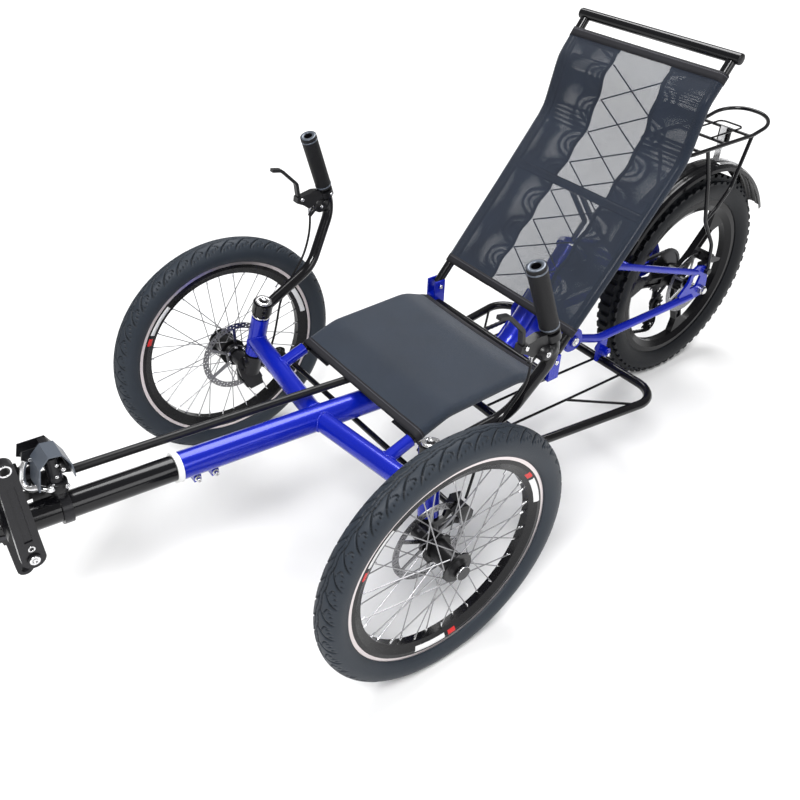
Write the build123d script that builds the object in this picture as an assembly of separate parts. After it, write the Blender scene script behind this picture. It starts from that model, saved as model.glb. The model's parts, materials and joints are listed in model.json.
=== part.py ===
from build123d import *
import math
import os

# A recumbent trike with two steered front wheels and one driven rear wheel.
# Millimetres. X is the rider's left, -Y is forward, Z is up from the floor.
# All pieces are drawn with Y = 0 on the front axles and are moved by CENTRE_SHIFT
# when they are written, so that the box of the trike is centred on the origin.

# Fits
FIT = 0.05
SEAT_GAP = 0.2
SWIVEL_GAP = 0.3
OPEN_PIVOT_GAP = 1.6

# Wheels
TRACK = 767.0
WHEELBASE = 1080.0
RIM_FLANGE_R = 209.0
RIM_DEPTH = 29.0
RIM_LIP = 2.0
BEAD_DEPTH = 9.0
BEAD_R = RIM_FLANGE_R - BEAD_DEPTH
FRONT_TYRE_H = 48.0
FRONT_TYRE_W = 54.0
FRONT_TYRE_R = RIM_FLANGE_R + FRONT_TYRE_H
REAR_TYRE_H = 62.0
REAR_TYRE_W = 60.0
REAR_TYRE_R = RIM_FLANGE_R + REAR_TYRE_H
KNOB_H = 7.0
KNOBS = 60
FRONT_RIM_W = 30.0
REAR_RIM_W = 36.0
STUB_AXLE_R = 10.0
REAR_AXLE_R = 6.0
SPOKE_R = 1.1
SPOKES_PER_FLANGE = 18
HUB_FLANGE_R = 29.0
HUB_BARREL_R = 20.0
BLADE_ANGLES = (50, 170, 290)
BLADE_HALF_T = 9.0
BLADE_ROOT_HALF_W = 17.0
BLADE_WAIST_HALF_W = 11.0
BLADE_FLARE_HALF_W = 34.0

# Brakes
ROTOR_R = 80.0
ROTOR_T = 2.0
ROTOR_BORE_R = 15.0
FRONT_ROTOR_X = -43.8
REAR_ROTOR_X = 38.0
CALIPER_W = 34.0
CALIPER_L = 44.0
CALIPER_H = 26.0
PAD_SLOT = 5.0
CALIPER_PLATE_T = 6.0
CALIPER_ARM = 34.0

# Main tube and boom
MAIN_OD = 50.8
MAIN_WALL = 2.5
MAIN_Z0 = 305.8
MAIN_FALL = 0.082
MAIN_FRONT_Y = -290.0
KINK_Y = 476.0
KINK_BEND_R = 90.0
TOP_Y = 648.0
TOP_Z = 480.0
BOOM_WALL = 2.5
BOOM_REAR_Y = -150.0
COLLAR_OD = 55.0
COLLAR_L = 10.0

# Crank
CRANK_Y = -562.0
SHELL_OD = 40.0
SHELL_W = 68.0
CRANK_AXLE_R = 8.5
ARM_LENGTH = 175.0
ARM_W_HUB = 36.0
ARM_W_TIP = 28.0
ARM_T = 14.0
ARM_INNER_X = 76.0
PEDAL_HOLE_R = 7.14
CHAIN_PITCH = 12.7
OUTER_RING_TEETH = 38
INNER_RING_TEETH = 28
OUTER_RING_X = -47.0
INNER_RING_X = -39.0
RING_T = 2.0
TOOTH_H = 7.0

# Cross arms and kingpins
CROSS_ARM_OD = 40.0
CROSS_ARM_ROOT_Y = -6.0
KINGPIN_INSET = 91.5
KINGPIN_X = TRACK / 2 - KINGPIN_INSET
KINGPIN_Y = 32.0
KINGPIN_Z = 330.0
KINGPIN_LEAN = 11.0
CASTER = 8.0
HEAD_OD = 38.0
HEAD_LOW_Z = 278.0
HEAD_HIGH_Z = 372.0
KINGPIN_R = 14.3
KINGPIN_LOW_Z = 226.0
KINGPIN_TOP_Z = 411.0
CROWN_GAP = 5.5
CLAMP_LOW_Z = 384.0
CLAMP_HIGH_Z = 408.0

# Steering linkage
TRACK_ROD_Y = 90.0
TRACK_ROD_Z = 250.0
TRACK_ROD_R = 6.0
BALL_R = 7.0
BALL_RING_R = 12.0
BALL_RING_H = 9.0
STEERING_ARM_DROP = 14.0

# Handlebars
BAR_OD = 22.2
BAR_WALL = 2.0
GRIP_OD = 33.0
GRIP_L = 122.0
BAR_END_R = 8.0
LEVER_DROP = 14.0

# Seat
SEAT_HALF_W = 180.0
SEAT_TUBE_R = 10.0
STUB_OD = 25.0
CLOTH_T = 3.5
FOLD_EDGE_X = 64.0
CROSSBAR_R = 9.5
LACE_R = 1.4
LACE_PITCH = 70.0

# Rear triangle
UPPER_STAY_R = 8.0
LOWER_STAY_R = 10.0
STAY_X = 75.0
DROPOUT_T = 6.0
PIVOT_Y = 608.0
PIVOT_Z = 298.0
PIVOT_RING_R = 29.0
PIVOT_HALF_W = 92.0
BRIDGE_GAP = 37.0
BRIDGE_Y = WHEELBASE - REAR_TYRE_R - BRIDGE_GAP

# Hoop under the frame
HOOP_Z = 193.0
HOOP_R = 10.0
HOOP_FRONT_Y = 380.0
HOOP_FRONT_X = 206.0
HOOP_REAR_X = 256.0
HOOP_GAP = 76.0
HOOP_REAR_Y = WHEELBASE - REAR_TYRE_R - HOOP_GAP
WIRE_R = 3.0

# Fender and rack
FENDER_R = REAR_TYRE_R + 32.0
FENDER_T = 2.0
RACK_Z = 648.0
RACK_TAIL_RISE = 19.0
RACK_HALF_W = 67.0
RACK_REAR_Y = WHEELBASE + 156.0
RACK_BEND_Y = WHEELBASE + 60.0
RACK_FRONT_Y = WHEELBASE - 180.0
RACK_ROD_R = 4.5

# Chain
CHAIN_W = 6.2
CHAIN_INNER_W = 4.0
LINK_HIGH = 4.0
LINK_WAIST = 2.9
CHAIN_IN_MOUTH = 6.0
CHAIN_TUBE_R = 8.0
CHAIN_TUBE_BORE = 6.4
CHAIN_MOUTH = 20.0
SPROCKET_TEETH = (14, 16, 18, 21, 24, 28)
SPROCKET_IN_USE = 5
SPROCKET_PITCH_X = 3.6
SPROCKET_FIRST_X = INNER_RING_X - SPROCKET_IN_USE * SPROCKET_PITCH_X
JOCKEY_TEETH = 11


def main_z(y):
    """Height of the axis of the boom and of the front run of the main tube."""
    return MAIN_Z0 - MAIN_FALL * y


def pitch_radius(teeth):
    """Radius on which a roller chain lies round a toothed ring."""
    return CHAIN_PITCH / (2 * math.sin(math.pi / teeth))


CRANK_Z = main_z(CRANK_Y)
FRONT_END_Y = CRANK_Y - pitch_radius(OUTER_RING_TEETH) - TOOTH_H / 2
REAR_END_Y = WHEELBASE + REAR_TYRE_R
CENTRE_SHIFT = -(FRONT_END_Y + REAR_END_Y) / 2


def kingpin_point(z):
    """Point of the left steering axis at a height: it leans inward and back as it rises."""
    rise = z - KINGPIN_Z
    x = KINGPIN_X - rise * math.tan(math.radians(KINGPIN_LEAN))
    y = KINGPIN_Y + rise * math.tan(math.radians(CASTER))
    return Vector(x, y, z)


def rod(start, end, radius):
    """Round bar between two points."""
    start = Vector(*start)
    axis = Vector(*end) - start
    return Solid.make_cylinder(radius, axis.length, Plane(origin=start, z_dir=axis))


def hex_rod(start, end, radius):
    """Six-sided bar between two points, for thin wires."""
    start = Vector(*start)
    axis = Vector(*end) - start
    return extrude(Plane(origin=start, z_dir=axis) * RegularPolygon(radius, 6), amount=axis.length)


def disc(x, y, z, radius, width):
    """Short round bar along X, centred on a point."""
    return rod((x - width / 2, y, z), (x + width / 2, y, z), radius)


def block(x_range, y_range, z_range):
    """Upright box given by its range along each axis."""
    (x0, x1), (y0, y1), (z0, z1) = x_range, y_range, z_range
    return Pos((x0 + x1) / 2, (y0 + y1) / 2, (z0 + z1) / 2) * Box(abs(x1 - x0), abs(y1 - y0), abs(z1 - z0))


def bent(points, bend_radii, radius, bore=0.0):
    """Round tube or bar along straight runs joined by tangent arcs."""
    path = FilletPolyline(*[Vector(*p) for p in points], radius=bend_radii)
    first = Vector(*points[0])
    start = Plane(origin=first, z_dir=Vector(*points[1]) - first)
    section = Circle(radius)
    if bore > 0:
        section = section - Circle(bore)
    return sweep(start * section, path=path)


def cable(points, radius):
    """Cable along points chosen by hand, each arc as large as its two runs allow."""
    bends = []
    for a, b, c in zip(points, points[1:], points[2:]):
        run_in, run_out = Vector(*b) - Vector(*a), Vector(*c) - Vector(*b)
        half_turn = math.radians(run_in.get_angle(run_out)) / 2
        bends.append(0.45 * min(run_in.length, run_out.length) / math.tan(half_turn))
    print("cable bend radii", [round(r) for r in bends])
    return bent(points, bends, radius)


def plate_x(outline, x_range):
    """Flat plate across X from a closed outline of (y, z) points."""
    plane = Plane(origin=(x_range[0], 0, 0), x_dir=(0, 1, 0), z_dir=(1, 0, 0))
    return extrude(plane * make_face(Polyline(*outline, close=True)), amount=x_range[1] - x_range[0])


def lathe_x(outline):
    """Ring turned about the X axis from a closed outline of (x, radius) points."""
    return revolve(make_face(Polyline(*outline, close=True)), axis=Axis.X, revolution_arc=360)


def mirrored(shape):
    """The same piece on the other side of the trike."""
    return mirror(shape, about=Plane.YZ)


def offset_points(points, distance):
    """Corner points of a run of straight lines moved sideways by a distance, mitred."""
    normals = []
    for (y0, z0), (y1, z1) in zip(points, points[1:]):
        length = math.hypot(y1 - y0, z1 - z0)
        normals.append((-(z1 - z0) / length, (y1 - y0) / length))
    ends = [normals[0]] + normals
    starts = normals + [normals[-1]]
    moved = []
    for (y, z), a, b in zip(points, ends, starts):
        scale = distance / (1 + a[0] * b[0] + a[1] * b[1])
        moved.append((y + (a[0] + b[0]) * scale, z + (a[1] + b[1]) * scale))
    return moved


def band(points, radii, turns, low, high, x_range):
    """Sheet across X that follows a bent line between two distances beside it.

    turns holds 1 where the line bends away from its positive side and -1 where it bends towards it."""
    edges = []
    for distance in (low, high):
        bends = [r + t * distance for r, t in zip(radii, turns)]
        edges.append(FilletPolyline(*offset_points(points, distance), radius=bends))
    first, second = edges
    cap_a = Line(first @ 0, second @ 0)
    cap_b = Line(first @ 1, second @ 1)
    plane = Plane(origin=(x_range[0], 0, 0), x_dir=(0, 1, 0), z_dir=(1, 0, 0))
    return extrude(plane * make_face([first, second, cap_a, cap_b]), amount=x_range[1] - x_range[0])


parts = {}


# Wheels

def rim_section(width):
    """Double-walled rim as (x, radius) points: two flanges, the bed between them and the V below."""
    half = width / 2
    lip = half - RIM_LIP
    inner_r = RIM_FLANGE_R - RIM_DEPTH
    return [(-half, RIM_FLANGE_R), (-lip, RIM_FLANGE_R), (-lip, BEAD_R), (lip, BEAD_R), (lip, RIM_FLANGE_R),
            (half, RIM_FLANGE_R), (half, BEAD_R - 5), (half * 0.5, inner_r), (-half * 0.5, inner_r),
            (-half, BEAD_R - 5)]


def tyre(radius, width, rim_width):
    """Tyre: a tread arc and two sidewall arcs, down to beads inside the rim's flanges."""
    half = width / 2
    seat_r = BEAD_R + SEAT_GAP
    shoulder_r = RIM_FLANGE_R + SEAT_GAP
    bead_x = rim_width / 2 - RIM_LIP - SEAT_GAP
    wall_x = bead_x + 4.0
    height = radius - shoulder_r
    tread_x = half * 0.62
    tread_r = radius - height * 0.11
    widest_r = shoulder_r + height * 0.46
    right_wall = ThreePointArc((wall_x, shoulder_r), (half, widest_r), (tread_x, tread_r))
    tread = ThreePointArc((tread_x, tread_r), (0, radius), (-tread_x, tread_r))
    left_wall = ThreePointArc((-tread_x, tread_r), (-half, widest_r), (-wall_x, shoulder_r))
    base = Polyline((-wall_x, shoulder_r), (-bead_x, shoulder_r), (-bead_x, seat_r),
                    (bead_x, seat_r), (bead_x, shoulder_r), (wall_x, shoulder_r))
    return revolve(make_face([right_wall, tread, left_wall, base]), axis=Axis.X, revolution_arc=360)


def toothed_disc(teeth, root, tip, shares, phase=0.0):
    """Face in the (y, z) plane with one tooth for each pitch, cut or widened by four shares of the pitch."""
    step = 2 * math.pi / teeth
    outline = []
    for i in range(teeth):
        for share, radius in zip(shares, (root, tip, tip, root)):
            at = (i + share + phase) * step
            outline.append((radius * math.cos(at), radius * math.sin(at)))
    return Plane.YZ * make_face(Polyline(*outline, close=True))


def knobbly_tyre():
    """Off-road rear tyre: rows of square knobs standing on bands between smooth strips of the casing.

    The bands and strips meet on flat planes across X, so each row is one toothed plate."""
    half = REAR_TYRE_W / 2
    seat_r = BEAD_R + SEAT_GAP
    shoulder_r = RIM_FLANGE_R + SEAT_GAP
    bead_x = REAR_RIM_W / 2 - RIM_LIP - SEAT_GAP
    wall_x = bead_x + 4.0
    crown = REAR_TYRE_R - KNOB_H
    height = crown - shoulder_r
    strip_r = crown - height * 0.05
    low_r = crown - height * 0.22
    widest_r = shoulder_r + height * 0.46
    centre_x, strip_x, row_x = half * 0.48, half * 0.60, half * 0.92
    wall = ThreePointArc((row_x, low_r - 1), (half, widest_r), (wall_x, shoulder_r))
    side = Polyline((wall_x, shoulder_r), (bead_x, shoulder_r), (bead_x, seat_r), (0, seat_r), (0, crown - 1),
                    (centre_x, crown - 1), (centre_x, strip_r), (strip_x, low_r), (strip_x, low_r - 1),
                    (row_x, low_r - 1))
    casing_half = revolve(make_face([wall, side]), axis=Axis.X, revolution_arc=360)
    casing = casing_half.fuse(mirrored(casing_half))
    square = (-0.32, -0.24, 0.24, 0.32)
    hole = Plane.YZ * Circle(crown - 3)
    centre_row = extrude(toothed_disc(KNOBS, crown, REAR_TYRE_R, square) - hole, amount=centre_x, both=True)
    hole = Plane.YZ * Circle(low_r - 3)
    row = toothed_disc(KNOBS, low_r, low_r + KNOB_H * 0.8, square, 0.5) - hole
    shoulder_row = extrude(row, amount=row_x - strip_x).moved(Location((strip_x, 0, 0)))
    return casing.fuse(centre_row, shoulder_row, mirrored(shoulder_row))


def spoked_hub():
    """Left hub with rotor carrier, two flanges and crossed wire spokes, about the wheel's centre."""
    bore = STUB_AXLE_R + FIT
    rotor_in = FRONT_ROTOR_X - ROTOR_T / 2 - FIT
    rotor_out = FRONT_ROTOR_X + ROTOR_T / 2 + FIT
    flange_in, flange_out = -25.0, 28.0
    outline = [(rotor_in - 3, bore), (rotor_in - 3, 19), (rotor_in, 19), (rotor_in, ROTOR_BORE_R),
               (rotor_out, ROTOR_BORE_R), (rotor_out, 22), (rotor_out + 5, 22), (rotor_out + 5, 16),
               (-31, 16), (flange_in - 2, HUB_BARREL_R), (flange_in - 2, HUB_FLANGE_R),
               (flange_in + 2, HUB_FLANGE_R), (flange_in + 2, HUB_BARREL_R), (flange_out - 2, HUB_BARREL_R),
               (flange_out - 2, HUB_FLANGE_R), (flange_out + 2, HUB_FLANGE_R), (flange_out + 2, HUB_BARREL_R),
               (36, 15), (38, 15), (38, bore)]
    hub = lathe_x(outline)
    hole_r = HUB_FLANGE_R - 3.5
    nipple_r = RIM_FLANGE_R - RIM_DEPTH - 0.5
    wires = []
    for flange_x, stagger in ((flange_in, 0.0), (flange_out, 0.5)):
        for i in range(SPOKES_PER_FLANGE):
            side = 1 if i % 2 else -1
            at_rim = 2 * math.pi * (i + stagger) / SPOKES_PER_FLANGE
            at_hub = at_rim + side * 1.25
            start = (flange_x + side * 1.4, hole_r * math.cos(at_hub), hole_r * math.sin(at_hub))
            end = (flange_x * 0.1, nipple_r * math.cos(at_rim), nipple_r * math.sin(at_rim))
            wires.append(hex_rod(start, end, SPOKE_R))
    return hub.fuse(*wires)


def brake_disc():
    """Disc rotor about X: braking band joined to the centre by six arms."""
    band_in = ROTOR_R - 13.0
    centre_r = 24.0
    window = Circle(band_in) - Circle(centre_r)
    for i in range(6):
        arm = Pos((band_in + centre_r) / 2, 0) * Rectangle(band_in - centre_r + 6, 7)
        window = window - Rot(0, 0, 60 * i) * arm
    plate = Circle(ROTOR_R) - Circle(ROTOR_BORE_R + FIT) - window
    return extrude(plate, amount=ROTOR_T / 2, both=True).rotate(Axis.Y, 90)


front_rim = lathe_x(rim_section(FRONT_RIM_W))
front_tyre = tyre(FRONT_TYRE_R, FRONT_TYRE_W, FRONT_RIM_W)
front_hub = spoked_hub()
rotor = brake_disc()
front_rotor = rotor.moved(Location((FRONT_ROTOR_X, 0, 0)))
for label, shape in (("tyre", front_tyre), ("rim", front_rim), ("hub", front_hub), ("rotor", front_rotor)):
    left = shape.moved(Location((TRACK / 2, 0, FRONT_TYRE_R)))
    parts[label + "_left"] = left
    parts[label + "_right"] = mirrored(left)


def cast_wheel():
    """Rear wheel: rim, three broad waisted blades and the hub with freewheel body."""
    bore = REAR_AXLE_R + FIT
    rim = lathe_x(rim_section(REAR_RIM_W))
    hub = lathe_x([(-57, bore), (-57, 17.9), (-28, 17.9), (-28, 26), (-18, 30), (18, 30), (28, 26),
                   (REAR_ROTOR_X - ROTOR_T / 2 - FIT, 22), (REAR_ROTOR_X - ROTOR_T / 2 - FIT, ROTOR_BORE_R),
                   (44, ROTOR_BORE_R), (44, bore)])
    inner_r = RIM_FLANGE_R - RIM_DEPTH
    waist_r = inner_r - 34
    edge = [(20, BLADE_ROOT_HALF_W), (70, BLADE_WAIST_HALF_W), (waist_r, BLADE_WAIST_HALF_W),
            (inner_r + 3, BLADE_FLARE_HALF_W)]
    outline = edge + [(r, -w) for r, w in reversed(edge)]
    blade = plate_x(outline, (-BLADE_HALF_T, BLADE_HALF_T))
    pocket = [(74, -BLADE_WAIST_HALF_W + 4), (74, BLADE_WAIST_HALF_W - 4),
              (waist_r - 4, BLADE_WAIST_HALF_W - 4),
              (waist_r - 4, -BLADE_WAIST_HALF_W + 4)]
    for low, high in ((BLADE_HALF_T - 4, BLADE_HALF_T + 1), (-BLADE_HALF_T - 1, 4 - BLADE_HALF_T)):
        blade = blade - plate_x(pocket, (low, high))
    blades = [blade.rotate(Axis.X, degrees) for degrees in BLADE_ANGLES]
    return rim.fuse(hub, *blades)


def to_rear(shape):
    """Move a piece drawn about the origin to the rear axle."""
    return shape.moved(Location((0, WHEELBASE, REAR_TYRE_R)))


parts["tyre_rear"] = to_rear(knobbly_tyre())
parts["wheel_rear"] = to_rear(cast_wheel())
parts["rotor_rear"] = to_rear(rotor.moved(Location((REAR_ROTOR_X, 0, 0))))


def toothed_ring(teeth, bore_r, thickness):
    """Chain ring about X with one trapezoid tooth for each pitch."""
    root = pitch_radius(teeth) - TOOTH_H / 2
    tip = pitch_radius(teeth) + TOOTH_H / 2
    plate = toothed_disc(teeth, root, tip, (-0.42, -0.12, 0.12, 0.42)) - Plane.YZ * Circle(bore_r)
    return extrude(plate, amount=thickness / 2, both=True)


sprockets = []
for i, teeth in enumerate(SPROCKET_TEETH):
    x = SPROCKET_FIRST_X + i * SPROCKET_PITCH_X
    sprockets.append(toothed_ring(teeth, 18.0, 1.8).moved(Location((x, 0, 0))))
carrier = disc(SPROCKET_FIRST_X + 11.5, 0, 0, 20.5, 24) - disc(SPROCKET_FIRST_X + 11.5, 0, 0, 18.0, 40)
parts["cassette"] = to_rear(carrier.fuse(*sprockets))
axle = disc(0, 0, 0, REAR_AXLE_R, 2 * STAY_X + 20)
parts["rear_axle"] = to_rear(axle.fuse(disc(STAY_X + 7, 0, 0, 11, 8), disc(-STAY_X - 7, 0, 0, 11, 8)))

# Main tube with its clamp lugs, boom and collar

kink = (0, KINK_Y, main_z(KINK_Y))
main_front = (0, MAIN_FRONT_Y, main_z(MAIN_FRONT_Y))
main_top = (0, TOP_Y, TOP_Z)
main_bore = MAIN_OD / 2 - MAIN_WALL
boom_r = main_bore - FIT
tube = bent([main_front, kink, main_top], [KINK_BEND_R], MAIN_OD / 2, main_bore)
rise = Vector(0, TOP_Y - KINK_Y, TOP_Z - main_z(KINK_Y)).normalized()
end_cap = rod(Vector(*main_top) - rise * 3, Vector(*main_top) + rise * 1, MAIN_OD / 2)
tube = tube.fuse(end_cap)
for lug_y in (-262.0, -228.0):
    low = main_z(lug_y) - MAIN_OD / 2
    tube = tube.fuse(block((-8, 8), (lug_y - 7, lug_y + 7), (low - 16, low + 1.2)))
parts["main_tube"] = tube

shell = disc(0, CRANK_Y, CRANK_Z, SHELL_OD / 2, SHELL_W)
boom_start = (0, CRANK_Y + 12, main_z(CRANK_Y + 12))
boom_end = (0, BOOM_REAR_Y, main_z(BOOM_REAR_Y))
boom_tube = rod(boom_start, boom_end, boom_r) - rod(boom_start, boom_end, boom_r - BOOM_WALL)
parts["boom"] = boom_tube.fuse(shell) - disc(0, CRANK_Y, CRANK_Z, CRANK_AXLE_R + FIT, SHELL_W + 20)
collar_front = (0, MAIN_FRONT_Y - COLLAR_L, main_z(MAIN_FRONT_Y - COLLAR_L))
collar = rod(collar_front, main_front, COLLAR_OD / 2)
parts["boom_collar"] = collar - rod(collar_front, main_front, boom_r + FIT)

# Seat curves in the (y, z) plane

BASE_CURVE = [(66, 330), (160, 362), (340, 366), (427, 331)]
BASE_BENDS = [80.0, 80.0]
BACK_CURVE = [(432, 376), (600, 574), (716, 716), (742, 820), (793, 888)]
BACK_BENDS = [300.0, 110.0, 60.0]

# Cross arms


def cross_arm():
    """Left cross arm: tube out to the leaning head tube, with the socket for the seat's side tube."""
    low = kingpin_point(HEAD_LOW_Z)
    high = kingpin_point(HEAD_HIGH_Z)
    joint = kingpin_point(310.0)
    root = Vector(0, CROSS_ARM_ROOT_Y, main_z(CROSS_ARM_ROOT_Y))
    tube = rod(root, joint, CROSS_ARM_OD / 2)
    head = rod(low, high, HEAD_OD / 2)
    (y0, z0), (y1, z1) = BASE_CURVE[0], BASE_CURVE[1]
    slope = (z1 - z0) / (y1 - y0)
    stub_start = (SEAT_HALF_W, 24, z0 - (y0 - 24) * slope)
    stub_end = (SEAT_HALF_W, y0 + 12, z0 + 12 * slope)
    arm = tube.fuse(head, rod(stub_start, stub_end, STUB_OD / 2))
    arm = arm - rod((SEAT_HALF_W, y0 - 1, z0 - slope), (SEAT_HALF_W, y1, z1), SEAT_TUBE_R + FIT)
    arm = arm - rod(kingpin_point(200), kingpin_point(440), KINGPIN_R + FIT)
    return arm - rod(main_front, kink, MAIN_OD / 2)


arm_left = cross_arm()
parts["cross_arms"] = Compound([arm_left, mirrored(arm_left)])

# Steering knuckles: kingpin, crown, stub axle, steering arm with its ball, caliper plate

AXLE_TIP_X = TRACK / 2 + 42.0
CALIPER_X = TRACK / 2 + FRONT_ROTOR_X
PLATE_X = (CALIPER_X - CALIPER_W / 2 - CALIPER_PLATE_T - FIT, CALIPER_X - CALIPER_W / 2 - FIT)
CALIPER_PLATES = {
    "left": [(-16, 246), (14, 244), (78, 288), (82, 312), (58, 318), (44, 276), (-10, 272)],
    "right": [(-16, 262), (16, 262), (44, 204), (48, 176), (16, 172), (-4, 212)],
}
ball_at = Vector(kingpin_point(TRACK_ROD_Z).X, TRACK_ROD_Y, TRACK_ROD_Z)
# Columns: lowest and highest height on the steering axis, radius
HEADSET_RINGS = [
    (HEAD_HIGH_Z + 2.5, HEAD_HIGH_Z + 6.5, 18.0),
    (HEAD_HIGH_Z + 6.5, CLAMP_LOW_Z - 1.5, 16.5),
    (CLAMP_HIGH_Z + 1.0, CLAMP_HIGH_Z + 4.5, 16.5),
    (CLAMP_HIGH_Z + 4.5, CLAMP_HIGH_Z + 8.0, 6.0),
]


def knuckle(side_name):
    """Steering knuckle, drawn as on the left."""
    axle_in = kingpin_point(FRONT_TYRE_R)
    pin = rod(kingpin_point(KINGPIN_LOW_Z), kingpin_point(KINGPIN_TOP_Z), KINGPIN_R)
    crown = rod(kingpin_point(KINGPIN_LOW_Z), kingpin_point(HEAD_LOW_Z - CROWN_GAP), 19.0)
    boss_end = TRACK / 2 + FRONT_ROTOR_X - ROTOR_T / 2 - 4.5
    boss = rod((axle_in.X, 0, FRONT_TYRE_R), (boss_end, 0, FRONT_TYRE_R), 16.0)
    web = rod((axle_in.X + 4, 0, FRONT_TYRE_R), axle_in, 14.0)
    axle = rod((axle_in.X, 0, FRONT_TYRE_R), (AXLE_TIP_X, 0, FRONT_TYRE_R), STUB_AXLE_R)
    cap = disc(AXLE_TIP_X + 1, 0, FRONT_TYRE_R, 13.0, 5)
    arm_z = TRACK_ROD_Z - STEERING_ARM_DROP
    eye = (ball_at.X, TRACK_ROD_Y, arm_z)
    arm = rod(kingpin_point(arm_z), eye, 7.0).fuse(
        rod((eye[0], eye[1], arm_z - 6), (eye[0], eye[1], arm_z + 6), 10.0),
        rod(eye, ball_at, 4.0), Solid.make_sphere(BALL_R).moved(Location(ball_at)))
    plate = plate_x(CALIPER_PLATES[side_name], PLATE_X)
    rings = []
    for low, high, radius in HEADSET_RINGS:
        rings.append(rod(kingpin_point(low), kingpin_point(high), radius))
    return pin.fuse(crown, boss, web, axle, cap, arm, plate, *rings)


parts["knuckle_left"] = knuckle("left")
parts["knuckle_right"] = mirrored(knuckle("right"))

# Track rod with a ring round the ball at each end

ball_right = Vector(-ball_at.X, ball_at.Y, ball_at.Z)
track_rod = rod(ball_at, ball_right, TRACK_ROD_R)
for centre in (ball_at, ball_right):
    lift = Vector(0, 0, BALL_RING_H / 2)
    track_rod = track_rod.fuse(rod(centre - lift, centre + lift, BALL_RING_R))
track_rod = track_rod - Solid.make_sphere(BALL_R + SWIVEL_GAP).moved(Location(ball_at))
track_rod = track_rod - Solid.make_sphere(BALL_R + OPEN_PIVOT_GAP).moved(Location(ball_right))
parts["track_rod"] = track_rod

# Handlebars, grips and brake levers

clamp_mid = kingpin_point((CLAMP_LOW_Z + CLAMP_HIGH_Z) / 2)
BAR_POINTS = [(clamp_mid.X + 4, clamp_mid.Y + 10, clamp_mid.Z - 4), (KINGPIN_X + 20, 182.0, 434.0),
              (KINGPIN_X + 43, 250.0, 545.0), (KINGPIN_X + 27, 193.0, 713.0)]
BAR_BENDS = [75.0, 60.0]
bar_top = Vector(*BAR_POINTS[3])
bar_up = (bar_top - Vector(*BAR_POINTS[2])).normalized()


def handlebar():
    """Left handlebar: clamp round the kingpin and the bar that sweeps back and up to the grip."""
    clamp = rod(kingpin_point(CLAMP_LOW_Z), kingpin_point(CLAMP_HIGH_Z), 21.0)
    bar = bent(BAR_POINTS, BAR_BENDS, BAR_OD / 2, BAR_OD / 2 - BAR_WALL)
    return bar.fuse(clamp) - rod(kingpin_point(340), kingpin_point(440), KINGPIN_R + FIT)


def grip():
    """Left grip: rubber sleeve over the end of the bar, open at the top."""
    sleeve = rod(bar_top - bar_up * GRIP_L, bar_top + bar_up * 3, GRIP_OD / 2)
    sleeve = sleeve - rod(bar_top - bar_up * (GRIP_L + 5), bar_top + bar_up * 0.5, BAR_OD / 2 + FIT)
    return sleeve - rod(bar_top, bar_top + bar_up * 10, BAR_END_R)


LEVER_SEAT = bar_top - bar_up * (GRIP_L + LEVER_DROP)
# Corners of the lever body, forward and up from the seat of its band on the bar
LEVER_BODY = [(4, 5), (-32, 11), (-58, 6), (-72, 6), (-74, -6), (-60, -13), (-46, -24), (-38, -22),
              (-24, -12), (4, -9)]
LEVER_BLADE = [(-66, -4), (-70, 34), (-104, 70), (-124, 74)]
LEVER_BENDS = [12.0, 16.0]


def brake_lever():
    """Left brake lever: band round the bar, body, blade in front of the grip, and the gear shifter below."""
    ring = rod(LEVER_SEAT - bar_up * 7, LEVER_SEAT + bar_up * 7, BAR_OD / 2 + 5)
    body_line = [(LEVER_SEAT.Y + y, LEVER_SEAT.Z + z) for y, z in LEVER_BODY]
    body = plate_x(body_line, (LEVER_SEAT.X - 8, LEVER_SEAT.X + 8))
    blade_line = [(LEVER_SEAT.Y + y, LEVER_SEAT.Z + z) for y, z in LEVER_BLADE]
    blade = band(blade_line, LEVER_BENDS, [-1, -1], -3.2, 3.2, (LEVER_SEAT.X - 5.5, LEVER_SEAT.X + 5.5))
    pod_at = LEVER_SEAT - bar_up * 24 + Vector(0, -14, 0)
    shifter = rod(pod_at - bar_up * 10, pod_at + bar_up * 10, 16.0)
    thumb = rod(pod_at + Vector(-6, -10, -4), pod_at + Vector(-34, -22, 2), 3.5)
    lever = ring.fuse(body, blade, shifter, thumb)
    lever = lever - bent(BAR_POINTS, BAR_BENDS, BAR_OD / 2 + FIT)
    lever = lever - rod(LEVER_SEAT + bar_up * 9, LEVER_SEAT + bar_up * 60, GRIP_OD / 2 + 0.5)
    return max(lever.solids(), key=lambda s: s.volume)


for label, shape in (("handlebar", handlebar()), ("grip", grip()), ("brake_lever", brake_lever())):
    parts[label + "_left"] = shape
    parts[label + "_right"] = mirrored(shape)

# Brake calipers


def caliper(degrees, with_arm):
    """Caliper about the wheel's centre with its slot over the rotor's edge, at an angle from the rear."""
    half_w, half_l, half_h = CALIPER_W / 2, CALIPER_L / 2, CALIPER_H / 2
    corners = [(-half_l, -half_h), (half_l, -half_h), (half_l, half_h * 0.3), (half_l * 0.5, half_h),
               (-half_l * 0.5, half_h), (-half_l, half_h * 0.3)]
    body = plate_x(corners, (-half_w, half_w)) - Pos(0, 0, -8) * Box(PAD_SLOT, CALIPER_L + 10, CALIPER_H)
    if with_arm:
        piston = disc(-half_w - 3, 0, 0, half_h, 8)
        arm_line = [(-8, -7), (8, -7), (CALIPER_ARM, 6), (CALIPER_ARM, 13), (-6, 8)]
        arm = plate_x(arm_line, (-half_w - 11, -half_w - 6))
        body = body.fuse(piston, arm)
    return body.moved(Location((0, 0, ROTOR_R - 4))).rotate(Axis.X, degrees - 90)


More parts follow.
